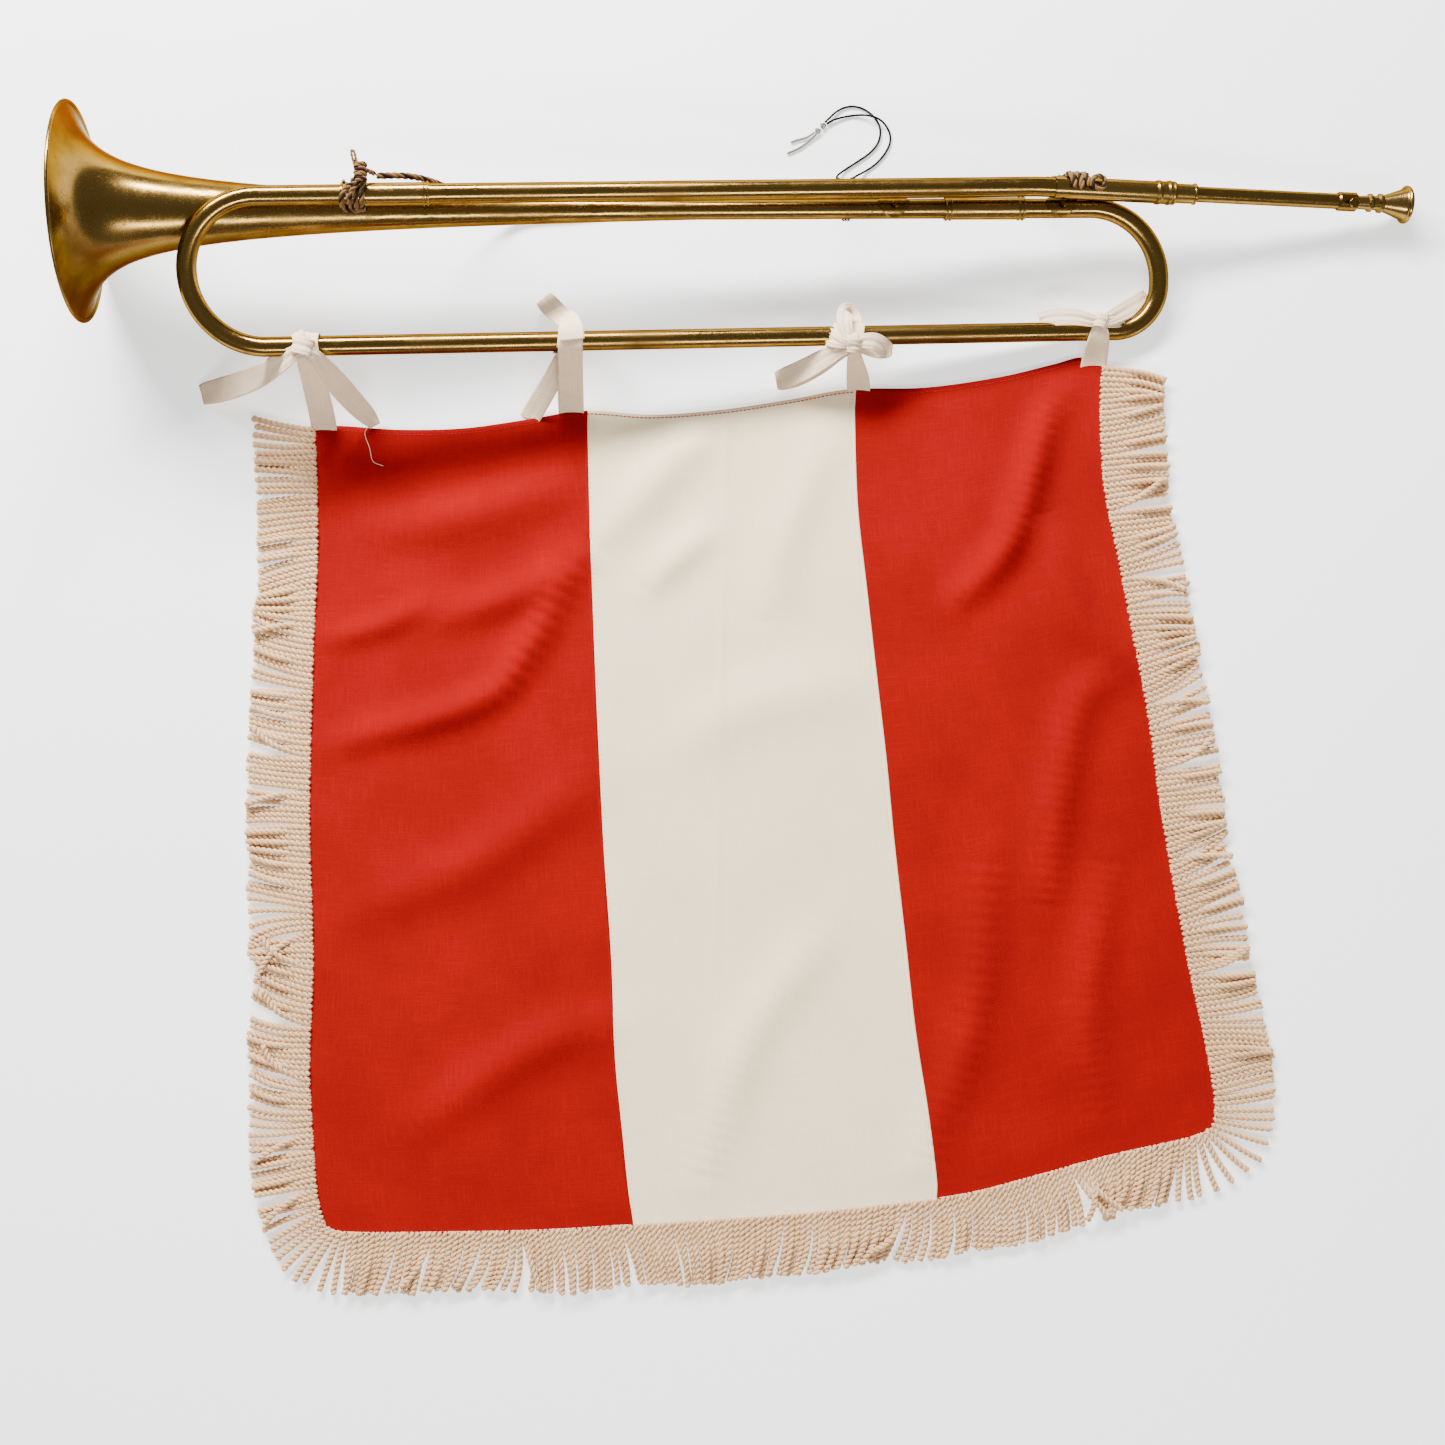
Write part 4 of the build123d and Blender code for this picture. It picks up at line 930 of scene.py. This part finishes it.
share = np.linspace(0.0, 1.0, 400)
full = np.ones(400)
stitches = MeshBag()
stitch_row(stitches, left_seam + (right_seam - left_seam) * share, 0.0042 * full, 0.0026, 0, 0.00034)
stitch_row(stitches, 0.003 + (left_seam - 0.004) * share, 0.0060 * full, 0.0026, 0, 0.00018)
stitch_row(stitches, right_seam + (0.997 - right_seam) * share, 0.0060 * full, 0.0026, 0, 0.00018)
stitch_row(stitches, 0.0045 * full, 0.004 + 0.992 * share, 0.0030, 0)
stitch_row(stitches, 0.9955 * full, 0.004 + 0.992 * share, 0.0030, 0)
stitch_row(stitches, 0.004 + 0.992 * share, 0.9950 * full, 0.0030, 2)
stitch_row(stitches, (left_seam + 0.0035) * full, 0.004 + 0.992 * share, 0.0030, 2, 0.00018)
stitch_row(stitches, (right_seam - 0.0035) * full, 0.004 + 0.992 * share, 0.0030, 2, 0.00018)
banner_stitches = stitches.make("banner_stitches", red_thread, pale_thread, pale_thread)
settle(banner_stitches, "banner", "red_cotton")

seams = MeshBag()
for seam, slot in ((left_seam, 0), (right_seam, 1)):
    line = even(cloth_places(seam * full, share), 500)
    line[:, 2] += 0.00042
    seams.add_strip(line, np.tile((1.0, 0.0, 0.0), (500, 1)), 0.0017, 0.00035, slot, 0.00025)
banner_seams = seams.make("banner_seams", red_cotton, cream_cotton)
settle(banner_seams, "banner", "cream_cotton")
print("stitch faces", len(banner_stitches.data.polygons))

# %% [markdown]
# Bullion fringe is a row of short two-ply ropes hanging from a narrow woven heading, which is sewn
# behind the cloth's edge.  Each strand keeps its length, leans with its neighbours in clumps, bends
# and crosses, and ends in a small loop where the rope doubles back.

# %% Where the fringe hangs
outline = np.vstack((left_edge, bottom_edge[1:-1], right_edge[::-1]))
outline = outline[outline[:, 1] < drawn_from[1] + 0.224]
outline = np.column_stack((outline, np.zeros(len(outline))))
pitch = 0.00352
count = int(line_length(outline) / pitch)
roots = even(outline, count)
heading = unit(np.gradient(roots, axis=0))
kernel = np.ones(9) / 9
for column in range(2):
    padded = np.pad(heading[:, column], 4, mode="edge")
    heading[:, column] = np.convolve(padded, kernel, mode="valid")
heading = unit(heading)
outward = np.column_stack((heading[:, 1], -heading[:, 0], np.zeros(count)))
left_corner = int(np.abs(roots[:, :2] - left_edge[-1]).sum(axis=1).argmin())
right_corner = int(np.abs(roots[:, :2] - right_edge[-1]).sum(axis=1).argmin())
print("fringe strands", count, "corners at", left_corner, right_corner)

# %% How each strand lies
draw = random.Random(41)


def wandering(count, reach, size):
    """Smooth seeded wandering along the row, so that neighbours lean together."""
    knots = [draw.gauss(0.0, size) for _ in range(count // reach + 3)]
    places = np.arange(count) / reach
    return np.interp(places, np.arange(len(knots)), knots)


lean = wandering(count, 9, 8.0) + wandering(count, 4, 3.5)
lean += np.array([draw.gauss(0.0, 1.5) for _ in range(count)])
curl = wandering(count, 8, 17.0)
curl += np.array([draw.gauss(0.0, 3.0) for _ in range(count)])
bottom = np.zeros(count)
bottom[left_corner + 6:right_corner - 6] = 1.0
curl -= 20.0 * bottom
strand_length = 0.0405
lengths = strand_length + wandering(count, 7, 0.0010)
lengths += np.array([draw.gauss(0.0, 0.0007) for _ in range(count)])
strays = set(draw.sample(range(count), 22))
strand_points = 56
share = np.linspace(0.0, 1.0, strand_points)
strand_lines = []
for number in range(count):
    swing = lean[number] * np.clip(share * 5.0, 0.0, 1.0) + curl[number] * share**1.5
    if number in strays:
        swing = swing + draw.choice((-38.0, 38.0)) * share
    angle = np.radians(swing)
    out = outward[number]
    aside = np.array((-out[1], out[0], 0.0))
    step = np.cos(angle)[:, None] * out + np.sin(angle)[:, None] * aside
    line = roots[number] - 0.0030 * out + np.cumsum(step, axis=0) * lengths[number] / strand_points
    strand_lines.append(line)
strand_lines = np.array(strand_lines)
strand_rest = 0.00214  # height of a strand that lies on the table
strand_over = 0.0026  # how much higher it lies on its neighbour
near = np.zeros(count)
for number in range(1, count):
    gap = np.linalg.norm(strand_lines[number, -12:, :2] - strand_lines[number - 1, -12:, :2], axis=1).min()
    if gap < 0.0029 and near[number - 1] < 0.5:
        near[number] = 1.0
    if number in strays:
        near[number] = 1.6
for number in range(count):
    rise = np.clip((share - 0.25) / 0.35, 0.0, 1.0)
    lift = strand_rest + strand_over * near[number] * rise**2 * (3 - 2 * rise)
    strand_lines[number, :, 2] = lift + 0.0002 * np.sin(number * 1.7 + 3 * share)
print("strands that lie on others", int(near.sum()))


# %% Twisting the fringe
ply_offset, ply_radius = 0.00100, 0.00112
strand_lay = 0.0072  # the length of one turn


def fringe_side(name, node_name, numbers):
    """One side's strands as one piece."""
    bag = MeshBag()
    for number in numbers:
        line = strand_lines[number]
        length = lengths[number]
        place = np.linspace(0.0, length, strand_points)
        normals, others = sides_of(line)
        start = draw.uniform(0.0, 2 * math.pi)
        swell = 1.0 + 0.22 * np.exp(-(((place - length + 0.0016) / 0.0013) ** 2))
        ending = np.sqrt(np.clip((length - place) / 0.0010, 0.03, 1.0))
        for half_turn in (0.0, math.pi):
            angle = (start + half_turn + 2 * math.pi * place / strand_lay)[:, None]
            ply = line + ply_offset * (np.cos(angle) * normals + np.sin(angle) * others)
            bag.add_tube(ply, ply_radius * swell * ending, 6, 0, 1.4)
    piece = bag.make(name, bullion_cotton)
    settle(piece, "banner", "bullion_fringe", node_name)
    print(name, len(numbers), "strands,", len(piece.data.polygons), "faces")
    return piece


fringe_left = fringe_side("fringe_left_strands", "fringe_left", range(0, left_corner))
fringe_bottom = fringe_side("fringe_bottom_strands", "fringe_bottom", range(left_corner, right_corner))
fringe_right = fringe_side("fringe_right_strands", "fringe_right", range(right_corner, count))

# %% The fringe's woven heading
band = MeshBag()
heading_line = roots - outward * 0.0052
heading_line[:, 2] = 0.00095
heading_line = even(heading_line, 700)
side = unit(np.cross(unit(np.gradient(heading_line, axis=0)), table_up))
band.add_strip(heading_line, side, 0.0075, 0.0009, 0)
fringe_heading = band.make("fringe_heading", tape_cotton)
settle(fringe_heading, "banner", "bullion_fringe")
print("heading length", round(line_length(heading_line), 3))

# %% [markdown]
# Four cotton tapes tie the banner to the lower tube.  Each tape is sewn under the top edge, climbs
# to the tube, goes round it and ends in a knot with its own tails or bow.  A tape is a strip with
# a width that pinches and pleats where a knot squeezes it.

# %% Tape helpers
flat_side = np.array((1.0, 0.0, 0.0))


def tube_at(x):
    """The point of the lower tube's axis at a distance along X, both from where the ties are drawn."""
    place = lower_middle + lower_along * ((x * mm + drawn_from[0] - lower_middle[0]) / lower_along[0])
    return (place - drawn_from) * 1000.0


def laid(points):
    """Drawn points in millimetres, raised with the tube, as places in metres."""
    points = np.array(points, float)
    drawn_height = 28.49 - 0.0924 * points[:, 0]  # of the tube, where the ties were drawn
    tube_height = np.array([tube_at(x)[2] for x in points[:, 0]])
    points[:, 2] *= tube_height / drawn_height
    points[:, :3] = points[:, :3] * mm + drawn_from
    return points


def tape(bag, points, side=None, thickness=0.0008, count=48):
    """A strip through (x, y, z, width) points in millimetres.  Narrow stretches are pleated."""
    points = laid(points)
    points[:, 3] *= mm
    line = smooth(points, count)
    path, width = line[:, :3], line[:, 3]
    if side is None:
        side = unit(np.cross(unit(np.gradient(path, axis=0)), table_up))
    else:
        side = np.tile(np.asarray(side, float), (count, 1))
    squeeze = np.clip((0.014 - width) / 0.008, 0.0, 1.0)
    bag.add_strip(path, side, width, thickness, 0, 0.0004, 0.0009 * squeeze)


def tape_ring(bag, x, width, radius=6.9, start=0.0, turn=360.0, lean=0.0):
    """Tape wound round the lower tube."""
    axis = unit(lower_along + lean * np.array((0.0, 1.0, 0.0)))
    line = turn_round(tube_at(x) * mm + drawn_from, axis, radius * mm, start, turn, 0.002, 50)
    side = np.tile(lower_along, (50, 1))
    bag.add_strip(line, side, width * mm, 0.0008, 0, 0.0002, 0.0)


def knot_band(bag, centre, along, wide, high, width):
    """A short pleated band round the tapes that meet in a knot."""
    along = unit(np.array(along, float))
    across = unit(np.cross(along, table_up))
    up = np.cross(across, along)
    angle = np.linspace(0.0, 2 * math.pi, 41)[:, None]
    line = laid([centre]) + mm * (wide * np.cos(angle) * across + high * np.sin(angle) * up)
    side = np.tile(along, (41, 1))
    bag.add_strip(line, side, width * mm, 0.0011, 0, 0.0007, 0.00045)


def finish_tie(bag, number):
    """Names the tie and lets it ride on the banner."""
    name = "tie_" + str(number)
    piece = bag.make(name + "_tape", tape_cotton, pale_thread)
    settle(piece, "banner", "tape_cotton", name)
    print(name, len(piece.data.polygons), "faces")


print("tube at the ties", [tube_at(x).round(1).tolist() for x in (-256, -98, 74, 226)])

# %% Tie 1, with two long tails
bag = MeshBag()
tape(bag, (
    (-258.5, 176, 1, 16), (-258.3, 181.5, 2.6, 16), (-257.8, 188, 11, 16), (-257, 200, 31, 15.5),
    (-256.4, 211, 50, 15), (-256.2, 217.5, 58.2, 14), (-256.4, 223.4, 60.4, 13),
    (-256.6, 229, 57.8, 13), (-256.8, 231.2, 52, 13), (-257, 228, 46.2, 13),
    (-257.2, 222.5, 44.8, 13), (-257.4, 217, 48.2, 13),
), flat_side, count=70)
tape_ring(bag, -259.5, 9.0, 7.9, 200.0, 330.0, 0.15)
knot_band(bag, (-259.0, 221.5, 61.6), (0.25, 1.0, 0.0), 6.2, 3.4, 10.0)
knot_band(bag, (-260.0, 226.0, 60.8), (1.0, 0.55, 0.0), 4.6, 3.0, 7.5)
tape(bag, (
    (-257, 219.5, 62.5, 8), (-264, 217.5, 60.5, 9), (-274, 213.5, 53, 12), (-290, 209, 36, 14.5),
    (-307, 206.5, 20, 15.5), (-322, 205, 8, 15.5), (-331.5, 204, 2.6, 14.5), (-336, 203, 1.2, 12.5),
))
tape(bag, (
    (-257, 219, 62, 8), (-251.5, 215.5, 59.5, 9), (-246.5, 209, 50, 12), (-241.5, 202, 35, 14),
    (-236, 195, 20, 13.5), (-231, 189.5, 9, 12), (-227.5, 185.5, 4.6, 9), (-226, 183, 3.6, 7),
))
loose_thread = smooth(laid((
    (-227.5, 184.5, 4.6), (-232.5, 179, 3.6), (-229.5, 169, 3.3), (-227.5, 161, 3.3),
    (-221, 158, 3.4),
)), 40)
bag.add_tube(loose_thread, 0.00020, 5, 1, 2.0)
finish_tie(bag, 1)

# %% Tie 2, folded over the tube
bag = MeshBag()
tape(bag, (
    (-102.8, 186, 1, 16), (-102.8, 192.5, 2.6, 16), (-102.4, 199, 11, 16), (-101.2, 212, 29, 15.5),
    (-100.2, 221.5, 41.5, 15), (-99.8, 226.5, 45.4, 15), (-99.7, 231.5, 45.6, 15),
    (-99.8, 236.5, 42.5, 15), (-100, 239.5, 36.5, 14), (-100.2, 236, 29.8, 13),
    (-100.4, 229.5, 28.6, 12), (-100.8, 223, 32.5, 12),
), flat_side, count=70)
tape(bag, (
    (-98.6, 228.5, 47.4, 15), (-99.6, 236, 45.6, 15), (-101.5, 241.8, 38.5, 13),
    (-107, 247.5, 27, 12), (-113, 254, 16, 13), (-118, 260.5, 7, 12.5), (-120.5, 263.5, 3.4, 11),
), count=56)
tape(bag, (
    (-103, 228, 30, 9), (-107.5, 218, 27, 11), (-113.5, 209, 19, 12.5), (-120.5, 200, 10, 13),
    (-126.5, 192, 3.4, 13), (-130, 187, 0.9, 12.5),
), count=56)
tape_ring(bag, -105.5, 7.0, 7.4, 190.0, 300.0, -0.2)
finish_tie(bag, 2)

# %% Tie 3, with a bow
bag = MeshBag()
tape(bag, (
    (78, 201.5, 1, 14.5), (78, 206.6, 2.8, 14.5), (77, 212, 10, 14), (75, 219, 19.5, 11),
    (73.4, 225.5, 27.4, 8), (73.2, 231, 29.6, 9), (73.4, 236.5, 30, 12), (73.6, 241.6, 27.2, 13),
    (73.8, 243.6, 21.5, 13), (73.8, 240, 15.6, 13), (73.8, 234.5, 14, 13), (73.6, 229, 17.6, 12),
), flat_side, count=70)
knot_band(bag, (73.0, 228.4, 30.0), (0.1, 1.0, 0.3), 4.6, 3.2, 8.0)
knot_band(bag, (72.2, 231.5, 31.0), (1.0, 0.35, 0.0), 3.8, 2.8, 7.0)
tape(bag, (
    (73, 229, 30.5, 7), (66, 227, 29.5, 9), (55, 221.5, 24, 12), (43, 216, 16.5, 13.5),
    (33, 212.8, 10.6, 13), (28.4, 211.5, 7, 12), (30.5, 211.6, 4.2, 12), (40, 214, 8.5, 13),
    (52, 218.5, 17.5, 12), (64, 224.5, 26, 9), (72, 228, 28.6, 7),
), count=90)
tape(bag, (
    (73, 229.5, 30.5, 7), (79, 231, 31.5, 9), (86, 230.5, 30.5, 11), (92, 228, 26.5, 11),
    (93, 227, 22.5, 10), (88, 227.2, 22, 10), (80, 228.4, 25.5, 9), (74, 229, 28.6, 7),
), count=70)
tape(bag, (
    (72, 231.5, 31, 7), (68.5, 238, 32, 8), (67.5, 245, 29.5, 10), (69, 251, 23, 10.5),
    (71.5, 252, 17, 10), (73.5, 248, 17.5, 10), (74, 242.5, 24, 9), (73.6, 236.5, 29.6, 8),
), count=70)
tape(bag, (
    (72, 230.5, 31.5, 6), (67, 233.5, 32, 8), (62.5, 238, 29.5, 9), (60, 241.5, 25.5, 9),
), count=30)
tape(bag, (
    (71, 229.5, 31, 6), (65, 230.5, 31.5, 8), (60, 232, 30, 9), (57, 233, 27.5, 8),
), count=30)
finish_tie(bag, 3)

# %% Tie 4, a short knot behind the tube
bag = MeshBag()
tape(bag, (
    (225.6, 217, 1, 16), (226, 222, 2.6, 16), (226.6, 228, 6.2, 15.5), (227, 234, 11.6, 14),
    (227.2, 239, 14.6, 12), (227.2, 244, 15.2, 9), (227, 248.5, 12.4, 9), (226.8, 250.2, 7.8, 10),
    (226.6, 247.2, 2.6, 10), (226.4, 241.8, 1.1, 11), (226.4, 236.6, 2.2, 11),
), flat_side, count=64)
knot_band(bag, (227.4, 246.4, 15.4), (0.2, 1.0, -0.1), 4.4, 3.0, 8.0)
knot_band(bag, (228.4, 248.6, 15.0), (1.0, -0.2, 0.0), 3.6, 2.6, 6.5)
tape(bag, (
    (227, 246, 16, 7), (221, 246.8, 17.4, 8), (212, 248.6, 17.6, 10), (202, 249.4, 15.6, 11),
    (194, 248.6, 13, 10.5), (190.5, 247.4, 12.4, 9),
), count=50)
tape(bag, (
    (228, 246.5, 16, 7), (234, 248.6, 15.6, 9), (242, 253, 11.6, 11), (251, 258.6, 6, 12),
    (257.5, 262.6, 2.6, 12), (260.5, 264.4, 1.3, 11),
), count=50)
tape(bag, (
    (228, 247, 15.6, 6), (233, 246.6, 15.8, 8), (238.6, 247.4, 13.4, 8.5), (240.4, 248.2, 10.6, 8),
    (237, 248.6, 9, 7.5), (231, 248.4, 11.4, 6),
), count=50)
finish_tie(bag, 4)

# %% The cloth as one sheet
print("banner cloth is one sheet")

# %% [markdown]
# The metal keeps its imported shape, which is exact, and only gets its finish.  Plain tubes are the
# duller brass, sleeves and turned rings are worn brighter, and the small fittings are darkest.

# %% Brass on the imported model
metal = {
    aged_brass: ("bell", "bell_rim_wire", "right_bow", "lower_tube", "left_bow", "leadpipe", "socket_liner",
                 "mouthpipe"),
    ferrule_brass: ("bell_sleeve", "leadpipe_sleeve", "tuning_sleeve", "socket_cap", "socket_collar"),
    fitting_brass: ("brace_plate_left", "brace_plate_right", "cord_eye_left", "cord_eye_right",
                    "mouthpiece_receiver", "clamp_screw"),
    mouthpiece_brass: ("mouthpiece",),
}
for finish, names in metal.items():
    for name in names:
        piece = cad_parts[name]
        if not piece.data.materials:
            piece.data.materials.append(None)
        for slot in piece.material_slots:
            slot.material = finish
print("brass nodes", sum(len(names) for names in metal.values()))

# %% [markdown]
# The table is a pale plain floor that glows a little, so that shadows stay faint.  Light comes from
# a strong long panel low behind the instrument, a weaker one in front and a dim pale sky.  Small
# strong lamps draw long highlights on the tubes, and the low one brings out the folds.

# %% Floor
def pale_paper(tree):
    """A matt pale floor with the faintest grain."""
    spot = node(tree, "TexCoord").outputs["Object"]
    cloud = node(tree, "TexNoise", {"Vector": spot, "Scale": 900.0, "Detail": 2}).outputs["Fac"]
    tone = blend_colours(tree, cloud, (0.80, 0.80, 0.80, 1), (0.82, 0.82, 0.82, 1))
    return {
        "Base Color": tone,
        "Roughness": 0.95,
        "Specular IOR Level": 0.1,
        "Emission Color": (1.0, 1.0, 1.0, 1.0),
        "Emission Strength": 1.0,
    }


floor_mesh = bpy.data.meshes.new("floor")
floor_mesh.from_pydata([(-6, -6, 0), (6, -6, 0), (6, 6, 0), (-6, 6, 0)], [], [(0, 1, 2, 3)])
floor_mesh.materials.append(finish_of("pale_floor", pale_paper))
floor = bpy.data.objects.new("floor", floor_mesh)
floor.location.z = -0.0003
bpy.context.scene.collection.objects.link(floor)


# %% Light
def soft_panel(name, place, size, power):
    """A rectangular lamp that faces the middle of the table."""
    data = bpy.data.lights.new(name, "AREA")
    data.shape = "RECTANGLE"
    data.size, data.size_y = size
    data.energy = power
    lamp = bpy.data.objects.new(name, data)
    lamp.location = place
    lamp.rotation_euler = (-Vector(place)).to_track_quat("-Z", "Y").to_euler()
    bpy.context.scene.collection.objects.link(lamp)


soft_panel("back_panel", (-0.60, 1.45, 0.95), (1.5, 0.30), 160.0)
soft_panel("front_panel", (0.3, -1.5, 1.6), (1.5, 0.34), 44.0)
world = bpy.data.worlds.new("pale_room")
world.use_nodes = True
background = world.node_tree.nodes["Background"]
background.inputs["Color"].default_value = (1.0, 0.99, 0.97, 1.0)
background.inputs["Strength"].default_value = 0.30
bpy.context.scene.world = world
print("lights", 2)
